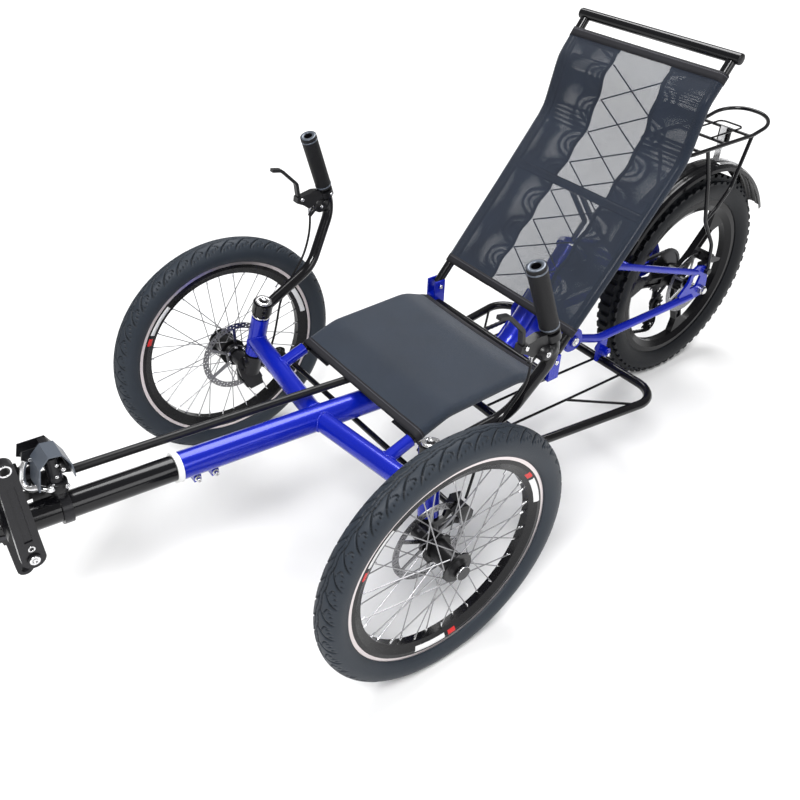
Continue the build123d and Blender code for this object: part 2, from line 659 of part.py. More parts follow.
parts["caliper_left"] = caliper(35, False).moved(Location((CALIPER_X, 0, FRONT_TYRE_R)))
parts["caliper_right"] = caliper(-68, False).moved(Location((-CALIPER_X, 0, FRONT_TYRE_R)))
rear_caliper = mirrored(caliper(60, True)).moved(Location((REAR_ROTOR_X, 0, 0)))
ear = block((REAR_ROTOR_X + CALIPER_W / 2 - 1, STAY_X - DROPOUT_T / 2), (-4, 24), (38, 66))
parts["caliper_rear"] = to_rear(rear_caliper.fuse(ear))

# Crank set


def crank_arm(x_inner, upward):
    """Tapered crank arm from the axle to the pedal hole, upright (1) or hanging (-1)."""
    outward = 1 if x_inner > 0 else -1
    mid_x = x_inner + outward * ARM_T / 2
    tip_z = CRANK_Z + upward * ARM_LENGTH
    outline = [(CRANK_Y - ARM_W_HUB / 2, CRANK_Z), (CRANK_Y + ARM_W_HUB / 2, CRANK_Z),
               (CRANK_Y + ARM_W_TIP / 2, tip_z), (CRANK_Y - ARM_W_TIP / 2, tip_z)]
    blade = plate_x(outline, (mid_x - ARM_T / 2, mid_x + ARM_T / 2))
    hub_disc = disc(mid_x, CRANK_Y, CRANK_Z, ARM_W_HUB / 2, ARM_T)
    tip_disc = disc(mid_x, CRANK_Y, tip_z, ARM_W_TIP / 2, ARM_T)
    groove_x = mid_x + outward * ARM_T / 2
    groove_z = [CRANK_Z + upward * share * ARM_LENGTH for share in (0.2, 0.82)]
    groove = block((groove_x - 2, groove_x + 2), (CRANK_Y - 6, CRANK_Y + 6), groove_z)
    bolt = disc(groove_x + outward * 1.5, CRANK_Y, CRANK_Z, 10.0, 3)
    arm = blade.fuse(hub_disc, tip_disc, bolt) - groove
    return arm - disc(mid_x, CRANK_Y, tip_z, PEDAL_HOLE_R, 2 * ARM_T)


parts["crank_arm_left"] = crank_arm(ARM_INNER_X, 1)
crank_axle = disc(0, CRANK_Y, CRANK_Z, CRANK_AXLE_R, 2 * ARM_INNER_X)
parts["crank_arm_right"] = crank_arm(-ARM_INNER_X, -1).fuse(crank_axle)


def chainrings():
    """Two toothed rings on a five-armed spider, about the crank's axis."""
    rings = toothed_ring(OUTER_RING_TEETH, 52.0, RING_T).moved(Location((OUTER_RING_X, 0, 0)))
    rings = rings.fuse(toothed_ring(INNER_RING_TEETH, 40.0, RING_T).moved(Location((INNER_RING_X, 0, 0))))
    for i in range(5):
        leg = block((OUTER_RING_X - 8, OUTER_RING_X - 1), (10, 62), (-8, 8))
        bolt = rod((OUTER_RING_X - 1, 46, 0), (INNER_RING_X + 1, 46, 0), 4.0)
        rings = rings.fuse(leg.rotate(Axis.X, 72 * i), bolt.rotate(Axis.X, 72 * i))
    rings = rings.fuse(disc(OUTER_RING_X - 4.5, 0, 0, 21.0, 9))
    return rings - disc(OUTER_RING_X, 0, 0, CRANK_AXLE_R + FIT, 40)


parts["chainrings"] = chainrings().moved(Location((0, CRANK_Y, CRANK_Z)))

# Front derailleur on its post

POST_Y = -486.0
post_base = main_z(POST_Y) + boom_r
along_boom = Vector(0, 1, -MAIN_FALL).normalized()
band_at = Vector(0, POST_Y, main_z(POST_Y))
derailleur = rod(band_at - along_boom * 8, band_at + along_boom * 8, boom_r + 5)
derailleur = derailleur.fuse(rod((0, POST_Y, post_base), (0, POST_Y, 452), 11.0))
derailleur = derailleur.fuse(rod((0, POST_Y, 438), (OUTER_RING_X - 7, POST_Y, 438), 6.0))
# Outline of the cage plates, back and up from the crank's centre
CAGE = [(38, 80), (44, 102), (86, 100), (106, 62), (106, 40), (96, 38), (78, 58)]
cage = [(CRANK_Y + y, CRANK_Z + z) for y, z in CAGE]
cage_low, cage_high = OUTER_RING_X - 8.5, INNER_RING_X + 6.5
for plate_low in (cage_low, cage_high):
    derailleur = derailleur.fuse(plate_x(cage, (plate_low, plate_low + 2)))
bridge_line = [(cage[2][0] - 12, cage[2][1]), (cage[2][0], cage[2][1]), (cage[3][0], cage[3][1])]
roof = band(bridge_line, [10.0], [1], -2.2, 0, (cage_low, cage_high + 2))
link = plate_x([(POST_Y - 9, 414), (POST_Y + 9, 414), (POST_Y + 4, 446), (POST_Y - 8, 446)],
               (cage_high + 2, -2))
derailleur = derailleur.fuse(roof, link)
derailleur = derailleur - rod(band_at - along_boom * 30, band_at + along_boom * 30, boom_r + FIT)
parts["front_derailleur"] = derailleur

# Rear triangle


LOWER_STAY = [(STAY_X, PIVOT_Y, PIVOT_Z), (STAY_X, PIVOT_Y + 100, PIVOT_Z - 37),
              (STAY_X, WHEELBASE - 34, REAR_TYRE_R - 12)]
UPPER_STAY = [(20, 636, 483), (STAY_X, 706, 449), (STAY_X, WHEELBASE - 34, REAR_TYRE_R + 56)]
LOWER_BEND_R = 90.0
# Corners of the dropout plate, back and up from the rear axle
DROPOUT = [(-86, 4), (-62, -20), (-26, -22), (12, -17), (20, 2), (14, 40), (-2, 66), (-34, 74), (-52, 66),
           (-58, 34)]


def lower_stay():
    """Left lower stay with its dropout plate."""
    stay = bent(LOWER_STAY, [LOWER_BEND_R], LOWER_STAY_R)
    outline = [(WHEELBASE + y, REAR_TYRE_R + z) for y, z in DROPOUT]
    plate = plate_x(outline, (STAY_X - DROPOUT_T / 2, STAY_X + DROPOUT_T / 2))
    window_line = ((-48, 14), (-22, 14), (-14, 40), (-30, 54), (-44, 44))
    window = [(WHEELBASE + y, REAR_TYRE_R + z) for y, z in window_line]
    plate = plate - plate_x(window, (STAY_X - DROPOUT_T, STAY_X + DROPOUT_T))
    joined = stay.fuse(plate) - disc(0, PIVOT_Y, PIVOT_Z, PIVOT_RING_R, 2 * PIVOT_HALF_W + 20)
    return joined - disc(0, WHEELBASE, REAR_TYRE_R, REAR_AXLE_R + FIT, 300)


def on_stay(stay, y):
    """Height of a stay's straight rear run at a place along it."""
    (_, y0, z0), (_, y1, z1) = stay[-2], stay[-1]
    return z0 + (z1 - z0) * (y - y0) / (y1 - y0)


def upper_stay():
    """Left upper stay from the top of the main tube out and back to the dropout."""
    stay = bent(UPPER_STAY, [30.0], UPPER_STAY_R)
    stay = stay - rod(kink, Vector(*main_top) + rise * 30, MAIN_OD / 2)
    slot_x = (STAY_X - DROPOUT_T / 2, STAY_X + DROPOUT_T / 2)
    slot = block(slot_x, (WHEELBASE - 70, WHEELBASE + 20), (240, 420))
    return stay - slot


lower_left = lower_stay()
parts["lower_stays"] = Compound([lower_left, mirrored(lower_left)])
upper_left = upper_stay()
bridge_z = on_stay(UPPER_STAY, BRIDGE_Y)
bridge = rod((-STAY_X, BRIDGE_Y, bridge_z), (STAY_X, BRIDGE_Y, bridge_z), 7.0)
parts["upper_stays"] = upper_left.fuse(mirrored(upper_left), bridge)

# Columns: distance from the middle along the pivot, share of the ring's radius
PIVOT_RINGS = [(0, 0.55), (56, 0.55), (56, 0.92), (62, 0.92), (62, 0.83), (65, 0.83), (65, 1), (85, 1),
               (85, 0.86), (89, 0.86), (89, 0.45), (PIVOT_HALF_W, 0.45), (PIVOT_HALF_W, 0)]
ring_line = [(x, PIVOT_RING_R * share) for x, share in PIVOT_RINGS]
half_shell = revolve(make_face(Polyline(*ring_line, (0, 0), close=True)), axis=Axis.X, revolution_arc=360)
pivot = half_shell.fuse(mirrored(half_shell)).moved(Location((0, PIVOT_Y, PIVOT_Z)))
gusset = [(462, 268), (500, 244), (PIVOT_Y + 2, PIVOT_Z - 24), (PIVOT_Y + 26, PIVOT_Z),
          (PIVOT_Y + 10, PIVOT_Z + 24),
          (566, 390), (520, 330)]
for low in (-31.0, 25.5):
    pivot = pivot.fuse(plate_x(gusset, (low, low + 5.5)))
main_solid = bent([main_front, kink, Vector(*main_top) + rise * 20], [KINK_BEND_R], MAIN_OD / 2)
pivot = pivot - main_solid
parts["pivot_frame"] = pivot

# Hoop with its wires and lugs

hoop_half = bent([(0, HOOP_FRONT_Y, HOOP_Z), (HOOP_FRONT_X, HOOP_FRONT_Y, HOOP_Z),
                  (HOOP_REAR_X, HOOP_REAR_Y, HOOP_Z),
                  (0, HOOP_REAR_Y, HOOP_Z)], [40.0, 55.0], HOOP_R)
parts["hoop"] = hoop_half.fuse(mirrored(hoop_half))
# Ends of the wires on the left, in the plane of the hoop
WIRES = [((56, HOOP_FRONT_Y), (58, 530)), ((58, 530), (66, HOOP_REAR_Y)), ((135, HOOP_FRONT_Y), (141, 550)),
         ((141, 550), (146, HOOP_REAR_Y)), ((141, 550), (HOOP_REAR_X - 8, HOOP_REAR_Y - 60))]
wires = [rod((x0, y0, HOOP_Z), (x1, y1, HOOP_Z), WIRE_R) for (x0, y0), (x1, y1) in WIRES]
left_wires = [wires[0].fuse(wires[1]) - parts["hoop"], wires[2].fuse(*wires[3:]) - parts["hoop"]]
inner = [max(w.solids(), key=lambda s: s.volume) for w in left_wires]
parts["hoop_wires"] = Compound(inner + [mirrored(w) for w in inner])

LUG_Y = HOOP_REAR_Y - 3
BUSHING_Z = (HOOP_Z + on_stay(LOWER_STAY, LUG_Y)) / 2 - 4
stay_solid = bent(LOWER_STAY, [LOWER_BEND_R], LOWER_STAY_R)
lug = block((STAY_X - 5, STAY_X + 3), (LUG_Y - 13, LUG_Y + 13), (HOOP_Z, on_stay(LOWER_STAY, LUG_Y)))
lug = lug.fuse(disc(STAY_X + 4, LUG_Y, BUSHING_Z, 11.0, 30), disc(STAY_X + 20, LUG_Y, BUSHING_Z, 6.0, 4))
lug = lug - disc(STAY_X, HOOP_REAR_Y, HOOP_Z, HOOP_R, 200) - stay_solid
front_lug = block((-12, 12), (HOOP_FRONT_Y - 8, HOOP_FRONT_Y + 8), (HOOP_Z + 4, main_z(HOOP_FRONT_Y)))
front_lug = front_lug - disc(0, HOOP_FRONT_Y, HOOP_Z, HOOP_R, 200) - rod(main_front, kink, MAIN_OD / 2)
lug = max(lug.solids(), key=lambda s: s.volume)
parts["hoop_lugs"] = Compound([lug, mirrored(lug), front_lug])

# Seat

side = SEAT_HALF_W
left_run = [(side, y, z) for y, z in BASE_CURVE]
right_run = [(-side, y, z) for y, z in reversed(BASE_CURVE)]
parts["seat_base_frame"] = bent(left_run + right_run, BASE_BENDS + [28.0, 28.0] + BASE_BENDS, SEAT_TUBE_R)

top_bar_at = (0, BACK_CURVE[-1][0] + 6, BACK_CURVE[-1][1] + 8)
CROSSBAR_Y, CROSSBAR_Z = 634.0, 615.6
back_rail = bent([(side, y, z) for y, z in BACK_CURVE], BACK_BENDS, SEAT_TUBE_R)
top_bar = disc(0, top_bar_at[1], top_bar_at[2], 10.5, 2 * side + 30)
crossbar = disc(0, CROSSBAR_Y, CROSSBAR_Z, CROSSBAR_R, 2 * side)
parts["seat_back_frame"] = back_rail.fuse(mirrored(back_rail), top_bar, crossbar)

outer = side + SEAT_TUBE_R + SEAT_GAP
over = SEAT_TUBE_R + SEAT_GAP
skin = over + CLOTH_T
base_line = [(84, 336.1), (160, 362), (340, 366), (404, 340.2)]
base_top = band(base_line, BASE_BENDS, [1, 1], over, skin, (-outer - CLOTH_T, outer + CLOTH_T))
base_flap = band(base_line, BASE_BENDS, [1, 1], -SEAT_TUBE_R, over, (outer, outer + CLOTH_T))
parts["seat_base"] = base_top.fuse(base_flap, mirrored(base_flap))

back_line = [(466, 416.1), (600, 574), (716, 716), (742, 820), (779, 869.3)]
back_front = band(back_line, BACK_BENDS, [-1, -1, 1], over, skin, (-outer - CLOTH_T, outer + CLOTH_T))
back_flap = band(back_line, BACK_BENDS, [-1, -1, 1], -skin, over, (outer, outer + CLOTH_T))
back_fold = band(back_line, BACK_BENDS, [-1, -1, 1], -skin, -over, (FOLD_EDGE_X, outer))
parts["seat_back"] = back_front.fuse(back_flap, mirrored(back_flap), back_fold, mirrored(back_fold))


def lace(first_side, depth):
    """One cord of the crossed lacing behind the back, from edge to edge of the folded cloth."""
    line = offset_points(back_line, depth)
    holes = []
    along = 30.0
    for (y0, z0), (y1, z1) in zip(line, line[1:]):
        length = math.hypot(y1 - y0, z1 - z0)
        while along < length:
            holes.append((y0 + (y1 - y0) * along / length, z0 + (z1 - z0) * along / length))
            along += LACE_PITCH
        along -= length
    runs = []
    sign = first_side
    for (y0, z0), (y1, z1) in zip(holes, holes[1:]):
        runs.append(rod((sign * FOLD_EDGE_X, y0, z0), (-sign * FOLD_EDGE_X, y1, z1), LACE_R))
        sign = -sign
    return runs[0].fuse(*runs[1:])


near_lace = lace(1, -skin - LACE_R - SEAT_GAP)
far_lace = lace(-1, -skin - 3 * LACE_R - 2 * SEAT_GAP)
parts["seat_lacing"] = Compound([near_lace, far_lace])

bracket = block((side - 14, side + 14), (414, 442), (331, 386))
bracket = bracket - block((side - 10.2, side + 10.2), (380, 460), (352, 400))
bracket = bracket - bent(left_run + right_run, BASE_BENDS + [28.0, 28.0] + BASE_BENDS, SEAT_TUBE_R)
bracket = bracket.solids().sort_by(Axis.Z)[-1]
inner_bolt = rod((side - 16, 428, 374), (side - 10, 428, 374), 5.0)
outer_bolt = rod((side + 10.2, 428, 374), (side + 16, 428, 374), 5.0)
bracket = bracket.fuse(inner_bolt, outer_bolt)
saddle = block((-18, 18), (412, 442), (280, 326))
saddle = saddle - main_solid - rod((-side, 427, 331), (side, 427, 331), SEAT_TUBE_R)
saddle = saddle.solids().sort_by(Axis.Z)[-1]
parts["seat_mounts"] = Compound([bracket, mirrored(bracket), saddle])

KNEE = (0, 700, 521)
FOOT_Y = 742.0
foot = (STAY_X, FOOT_Y, on_stay(UPPER_STAY, FOOT_Y))
strut = bent([(14, CROSSBAR_Y, CROSSBAR_Z), (14, KNEE[1], KNEE[2]), foot], [22.0], 6.0)
strut = strut - disc(0, CROSSBAR_Y, CROSSBAR_Z, CROSSBAR_R, 100)
strut = strut - rod((STAY_X, *UPPER_STAY[1][1:]), (STAY_X, *UPPER_STAY[2][1:]), UPPER_STAY_R)
strut = strut.solids().sort_by(SortBy.VOLUME)[-1]
parts["seat_strut"] = Compound([strut, mirrored(strut)])

# Fender and rack

# Section of the fender from its left edge: across, and down from the crown
FENDER_LINE = [(-33, -17), (-32, -9), (-24, -4), (-11, -3), (-8, 0), (8, 0), (11, -3), (24, -4), (32, -9),
               (33, -17)]
fender_top = [(x, FENDER_R + drop) for x, drop in FENDER_LINE]
fender_low = offset_points(fender_top, -FENDER_T)
fender_face = make_face(Polyline(*fender_top, *reversed(fender_low), close=True))
fender = revolve(fender_face, axis=Axis.X, revolution_arc=124)
parts["fender"] = to_rear(fender.rotate(Axis.X, 28))

rack_half = bent([(0, RACK_FRONT_Y, RACK_Z), (RACK_HALF_W, RACK_FRONT_Y, RACK_Z),
                  (RACK_HALF_W, RACK_BEND_Y, RACK_Z), (RACK_HALF_W, RACK_REAR_Y, RACK_Z + RACK_TAIL_RISE),
                  (0, RACK_REAR_Y, RACK_Z + RACK_TAIL_RISE)],
                 [24.0, 60.0, RACK_HALF_W - 5], RACK_ROD_R)
rack_top = rack_half.fuse(mirrored(rack_half))
RACK_BARS_Y = [WHEELBASE - 130, WHEELBASE - 40, WHEELBASE + 50]
for y in RACK_BARS_Y:
    rack_top = rack_top.fuse(disc(0, y, RACK_Z, 3.5, 2 * RACK_HALF_W))
clip_line = [(30, RACK_BARS_Y[1] - 8, RACK_Z + 4), (30, RACK_BARS_Y[2] + 26, RACK_Z + 4),
             (-30, RACK_BARS_Y[2] + 26, RACK_Z + 4), (-30, RACK_BARS_Y[1] - 8, RACK_Z + 4)]
clip = bent(clip_line, [14.0, 14.0], 2.2)
reflector_plate = block((-16, 16), (RACK_BARS_Y[2] + 1, RACK_BARS_Y[2] + 5), (RACK_Z - 34, RACK_Z + 2))
rack_top = rack_top.fuse(clip, reflector_plate)
parts["rack_top"] = rack_top

LEG_X = STAY_X + DROPOUT_T / 2 + RACK_ROD_R
EYE_Y, EYE_Z = WHEELBASE + 2, REAR_TYRE_R + 52
JOINT = (RACK_HALF_W + 5, WHEELBASE - 50, 466.0)
front_leg = bent([(RACK_HALF_W, WHEELBASE - 106, RACK_Z), (RACK_HALF_W + 1, WHEELBASE - 76, 574), JOINT,
                  (LEG_X, WHEELBASE - 12, 400), (LEG_X, EYE_Y, EYE_Z)], [60.0, 60.0, 50.0], RACK_ROD_R)
rear_leg = bent([(RACK_HALF_W, WHEELBASE + 58, RACK_Z), (RACK_HALF_W + 2, WHEELBASE + 24, 530),
                 (RACK_HALF_W + 4, WHEELBASE - 14, 492), JOINT], [40.0, 30.0], RACK_ROD_R)
eye = disc(STAY_X + DROPOUT_T / 2 + 5, EYE_Y, EYE_Z, 8.0, 10)
legs = rear_leg.fuse(front_leg, eye) - rack_top
legs = max(legs.solids(), key=lambda s: s.volume)
parts["rack_legs"] = Compound([legs, mirrored(legs)])
STRAP_Y = RACK_BARS_Y[2] - 6
strap_z = REAR_TYRE_R + math.sqrt((FENDER_R + 1.5) ** 2 - (STRAP_Y - WHEELBASE) ** 2)
strap = block((-8, 8), (STRAP_Y, STRAP_Y + 2.5), (strap_z, RACK_Z + 3))
band_line = Polyline((-8, FENDER_R), (8, FENDER_R), (8, FENDER_R + 2.5), (-8, FENDER_R + 2.5), close=True)
band_face = make_face(band_line)
foot_band = revolve(band_face, axis=Axis.X, revolution_arc=20).rotate(Axis.X, 64)
parts["fender_strap"] = to_rear(foot_band).fuse(strap)

# Chain tubes, rear derailleur and chain, all in the plane of the inner ring

CHAIN_X = INNER_RING_X
POWER_TUBE = [(CHAIN_X, -450, main_z(-450) + 36), (CHAIN_X, 330, main_z(330) + 35)]
RETURN_TUBE = [(CHAIN_X, -450, 288), (CHAIN_X, 380, 262)]
tubes = []
for start, end in (POWER_TUBE, RETURN_TUBE):
    run = (Vector(*end) - Vector(*start)).normalized() * CHAIN_MOUTH
    tube_whole = rod(start, end, CHAIN_TUBE_R) - rod(start, Vector(*start) + run, CHAIN_TUBE_BORE)
    tubes.append(tube_whole - rod(Vector(*end) - run, end, CHAIN_TUBE_BORE))
parts["chain_tubes"] = Compound(tubes)

GUIDE_AT = (WHEELBASE + 6, 170.0)
TENSION_AT = (WHEELBASE - 10, 114.0)
JOCKEY_R = pitch_radius(JOCKEY_TEETH)


def belt(stations):
    """Points and left-hand normals every half link along a belt in the (y, z) plane.

    Each station is y, z, radius and side: 1 where the belt turns left round it, -1 right, 0 at a free end."""
    dense = []
    entry = None
    for (y0, z0, r0, s0), (y1, z1, r1, s1) in zip(stations, stations[1:]):
        length = math.hypot(y1 - y0, z1 - z0)
        lean = math.asin((s1 * r1 - s0 * r0) / length)
        heading = math.atan2(z1 - z0, y1 - y0) - lean
        if s0 != 0:
            turn = (heading - entry) * s0 % (2 * math.pi)
            steps = max(2, round(turn / math.radians(6)))
            for i in range(1, steps):
                at = entry + s0 * turn * i / steps
                dense.append((y0 + s0 * r0 * math.sin(at), z0 - s0 * r0 * math.cos(at)))
        dense.append((y0 + s0 * r0 * math.sin(heading), z0 - s0 * r0 * math.cos(heading)))
        dense.append((y1 + s1 * r1 * math.sin(heading), z1 - s1 * r1 * math.cos(heading)))
        entry = heading
    marks = []
    ahead = 0.0
    for (y0, z0), (y1, z1) in zip(dense, dense[1:]):
        length = math.hypot(y1 - y0, z1 - z0)
        while ahead < length:
            share = ahead / length
            normal = (-(z1 - z0) / length, (y1 - y0) / length)
            marks.append((y0 + (y1 - y0) * share, z0 + (z1 - z0) * share, *normal))
            ahead += CHAIN_PITCH / 2
        ahead -= length
    return marks


def chain_run(stations):
    """Stretch of chain with waisted link plates, open between its plates where it lies on teeth."""
    marks = belt(stations)
    heights = [LINK_WAIST if i % 2 else LINK_HIGH for i in range(len(marks))]
    left = [(y + ny * h, z + nz * h) for (y, z, ny, nz), h in zip(marks, heights)]
    right = [(y - ny * h, z - nz * h) for (y, z, ny, nz), h in zip(marks, heights)]
    run = plate_x(left + right[::-1], (CHAIN_X - CHAIN_W / 2, CHAIN_X + CHAIN_W / 2))
    for y, z, radius, side in stations:
        if side != 0:
            run = run - disc(CHAIN_X, y, z, radius + TOOTH_H / 2 + 2, CHAIN_INNER_W)
    return run


def mouth(tube, end):
    """Free end of the chain a little inside a chain tube, as a station."""
    near, far = (tube[0], tube[1]) if end == 0 else (tube[1], tube[0])
    inside = Vector(*near) + (Vector(*far) - Vector(*near)).normalized() * CHAIN_IN_MOUTH
    return inside.Y, inside.Z, 0.0, 0


front_run = chain_run([mouth(POWER_TUBE, 0), (CRANK_Y, CRANK_Z, pitch_radius(INNER_RING_TEETH), 1),
                       mouth(RETURN_TUBE, 0)])
rear_run = chain_run([mouth(POWER_TUBE, 1),
                      (WHEELBASE, REAR_TYRE_R, pitch_radius(SPROCKET_TEETH[SPROCKET_IN_USE]), -1),
                      (*GUIDE_AT, JOCKEY_R, 1), (*TENSION_AT, JOCKEY_R, -1), mouth(RETURN_TUBE, 1)])
parts["chain"] = Compound([front_run, rear_run])

CAGE_GAP = CHAIN_W / 2 + 0.5
CAGE_T = 1.6
hanger = plate_x([(WHEELBASE - 4, 262), (WHEELBASE + 18, 262), (WHEELBASE + 26, 238), (WHEELBASE + 12, 228),
                  (WHEELBASE, 238)], (-STAY_X + DROPOUT_T / 2, -STAY_X + DROPOUT_T / 2 + 5))
knuckle_top = (-STAY_X + 6, WHEELBASE + 12, 235)
knuckle_mid = (CHAIN_X - 18, WHEELBASE + 14, 206)
knuckle_low = (CHAIN_X - CAGE_GAP - CAGE_T - 5, *GUIDE_AT)
changer = hanger.fuse(rod(knuckle_top, knuckle_mid, 6.0), Solid.make_sphere(7.0).moved(Location(knuckle_mid)),
                      rod(knuckle_mid, knuckle_low, 7.0))
changer = changer.fuse(disc(CHAIN_X - CAGE_GAP - CAGE_T - 4, *GUIDE_AT, 14.0, 8))
for at in (GUIDE_AT, TENSION_AT):
    jockey = toothed_ring(JOCKEY_TEETH, 3.0, RING_T).moved(Location((CHAIN_X, *at)))
    changer = changer.fuse(jockey, disc(CHAIN_X, *at, 5.0, 2 * (CAGE_GAP + CAGE_T)))
long_way = Vector(0, TENSION_AT[0] - GUIDE_AT[0], TENSION_AT[1] - GUIDE_AT[1])
for low in (CHAIN_X - CAGE_GAP - CAGE_T, CHAIN_X + CAGE_GAP):
    across = Vector(0, -long_way.Z, long_way.Y).normalized() * 9.0
    corners = [Vector(0, *GUIDE_AT) + across, Vector(0, *GUIDE_AT) - across, Vector(0, *TENSION_AT) - across,
               Vector(0, *TENSION_AT) + across]
    changer = changer.fuse(plate_x([(c.Y, c.Z) for c in corners], (low, low + CAGE_T)))
    for at in (GUIDE_AT, TENSION_AT):
        changer = changer.fuse(disc(low + CAGE_T / 2, *at, 11.0, CAGE_T))
parts["rear_derailleur"] = changer

# Brake cables from the levers down the handlebars to the front calipers

CABLE_R = 2.5
lever_exit = LEVER_SEAT + Vector(0, -40, -26)
BRAKE_CABLES = {
    "left": [(0, 0, 0), (2, 2, -34), (-2, -8, -72), (-10, -30, -108), (-9, -62, -148), (0, -96, -184),
             (9, -116, -218), (8.6, -122, -242)],
    "right": [(0, 0, 0), (2, 2, -34), (-2, -8, -72), (-10, -30, -108), (-9, -62, -148), (-7, -88, -192),
              (-4, -98, -246), (-2, -112, -300), (1, -138, -352)],
}
for side_name, steps in BRAKE_CABLES.items():
    points = [tuple(lever_exit + Vector(*step)) for step in steps]
    line = cable(points, CABLE_R)
    parts["cable_" + side_name] = line if side_name == "left" else mirrored(line)

os.makedirs("parts", exist_ok=True)
for name, shape in parts.items():
    export_step(shape.moved(Location((0, CENTRE_SHIFT, 0))), f"parts/{name}.step")
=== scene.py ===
# %% [markdown]
# # A recumbent trike, dressed for its picture
#
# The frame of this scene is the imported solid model. Every cell below adds looks to it: paint, rubber,
# cloth, and small pieces that are too fine for the solid model. Lengths are in metres, X points to the
# rider's left, -Y points forward and Z points up.

# %% load the frame
import json
import math
import bpy
import numpy as np
from mathutils import Matrix, Vector


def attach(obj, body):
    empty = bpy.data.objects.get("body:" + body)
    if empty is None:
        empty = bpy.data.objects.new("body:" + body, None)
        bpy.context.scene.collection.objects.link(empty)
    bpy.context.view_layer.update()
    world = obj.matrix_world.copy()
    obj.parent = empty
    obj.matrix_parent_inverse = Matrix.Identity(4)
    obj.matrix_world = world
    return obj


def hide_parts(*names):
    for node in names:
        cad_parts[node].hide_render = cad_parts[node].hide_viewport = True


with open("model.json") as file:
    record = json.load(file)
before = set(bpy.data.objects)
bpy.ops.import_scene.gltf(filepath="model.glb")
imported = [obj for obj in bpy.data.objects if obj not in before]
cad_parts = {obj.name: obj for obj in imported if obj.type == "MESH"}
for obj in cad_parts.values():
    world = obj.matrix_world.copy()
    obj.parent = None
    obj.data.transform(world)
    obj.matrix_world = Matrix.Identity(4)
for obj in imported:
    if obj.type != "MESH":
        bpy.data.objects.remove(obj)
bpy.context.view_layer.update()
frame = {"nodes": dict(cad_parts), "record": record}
nodes = frame["nodes"]

# %% [markdown]
# ## Where things are
#
# The model was drawn with Y = 0 on the front axles and then moved so that its box is centred. `SHIFT`
# is that move. A few sizes are repeated here because the fine pieces have to meet the solids.

# %% sizes shared by the cells
SHIFT = -0.3543021
HALF_TRACK = 0.3835
FRONT_R = 0.257
REAR_R = 0.271
WHEELBASE = 1.080
RIM_R = 0.209
RIM_DEPTH = 0.029
KINGPIN = np.array([0.292, 0.032, 0.330])
KINGPIN_LEAN = math.tan(math.radians(11))
KINGPIN_CASTER = math.tan(math.radians(8))
SIDES = (("left", 1), ("right", -1))


def at(x, y, z):
    """A place given as the solids are drawn, with Y = 0 on the front axles, moved into the scene."""
    return np.array([x, y + SHIFT, z])


def grid_at(x, y, z):
    """The same move for whole arrays: x, y and z are spread over one grid of points."""
    return np.stack(np.broadcast_arrays(x, y + SHIFT, z), axis=-1)


def round_axle(turn):
    """The direction away from an axle along X, at an angle from straight back: (0, cos, sin)."""
    return np.array([0, math.cos(turn), math.sin(turn)])


def full_turn(steps):
    """Even angles once round a circle, in radians."""
    return np.linspace(0, 2 * math.pi, steps, endpoint=False)


def unit(rows):
    """Each row divided by its length."""
    return rows / np.linalg.norm(rows, axis=-1, keepdims=True)


def kingpin(z, side=1):
    """The point at a height on the steering axis of one side."""
    x = KINGPIN[0] - (z - KINGPIN[2]) * KINGPIN_LEAN
    return at(side * x, KINGPIN[1] + (z - KINGPIN[2]) * KINGPIN_CASTER, z)


# %% [markdown]
# ## Meshes from arrays
#
# New pieces are surfaces worked out as whole arrays of points. A few small tools cover them all: a grid of
# quads, a solid turned about an axis and then aimed along another one, a thin shell between two grids, and
# a joiner that puts many small solids into one mesh. `outward` turns the faces of a closed solid the right
# way, because turning and mirroring can leave it inside out. Modifiers could do much of this too, but a
# formula says exactly where each point is, and the pieces have to meet the solids to a fraction of a
# millimetre.

# %% grids, turned solids and shells


def grid_faces(rows, cols, round_rows=False, round_cols=False):
    """Quads between neighbours in a rows by cols grid of points that is counted row by row."""
    r = np.arange(rows if round_rows else rows - 1)[:, None]
    c = np.arange(cols if round_cols else cols - 1)[None, :]
    below, beside = (r + 1) % rows, (c + 1) % cols
    corners = [r * cols + c, below * cols + c, below * cols + beside, r * cols + beside]
    return np.stack(corners, axis=-1).reshape(-1, 4).tolist()


def fan(tip, ring):
    """Triangles from a tip to each edge of a closed ring, all given as the numbers of their points."""
    return [[tip, a, b] for a, b in zip(ring, ring[1:] + ring[:1])]


def turned(profile, steps=20):
    """Solid turned about X, from (x, radius) points that begin and end on the axis.

    Each (x, r) becomes the ring (x, r cos a, r sin a), and the two ends are closed by fans."""
    profile = np.asarray(profile, float)
    rings = profile[1:-1]
    turn = full_turn(steps)
    x = np.repeat(rings[:, 0][:, None], steps, axis=1)
    y = rings[:, 1][:, None] * np.cos(turn)
    z = rings[:, 1][:, None] * np.sin(turn)
    points = np.stack([x, y, z], axis=-1).reshape(-1, 3)
    first, last = len(points), len(points) + 1
    points = np.vstack([points, [profile[0, 0], 0, 0], [profile[-1, 0], 0, 0]])
    faces = grid_faces(len(rings), steps, round_cols=True)
    faces += fan(first, list(range(steps)))
    faces += fan(last, list(range(first - 1, first - 1 - steps, -1)))
    return points, faces


def aimed(solid, place, axis):
    """The same solid with its X axis along another axis, moved to a place: p turns into p M + place."""
    points, faces = solid
    along = unit(np.asarray(axis, float))
    helper = np.array([0.0, 0.0, 1.0]) if abs(along[2]) < 0.9 else np.array([0.0, 1.0, 0.0])
    side = unit(np.cross(helper, along))
    turn = np.stack([along, side, np.cross(along, side)])
    return points @ turn + np.asarray(place), faces


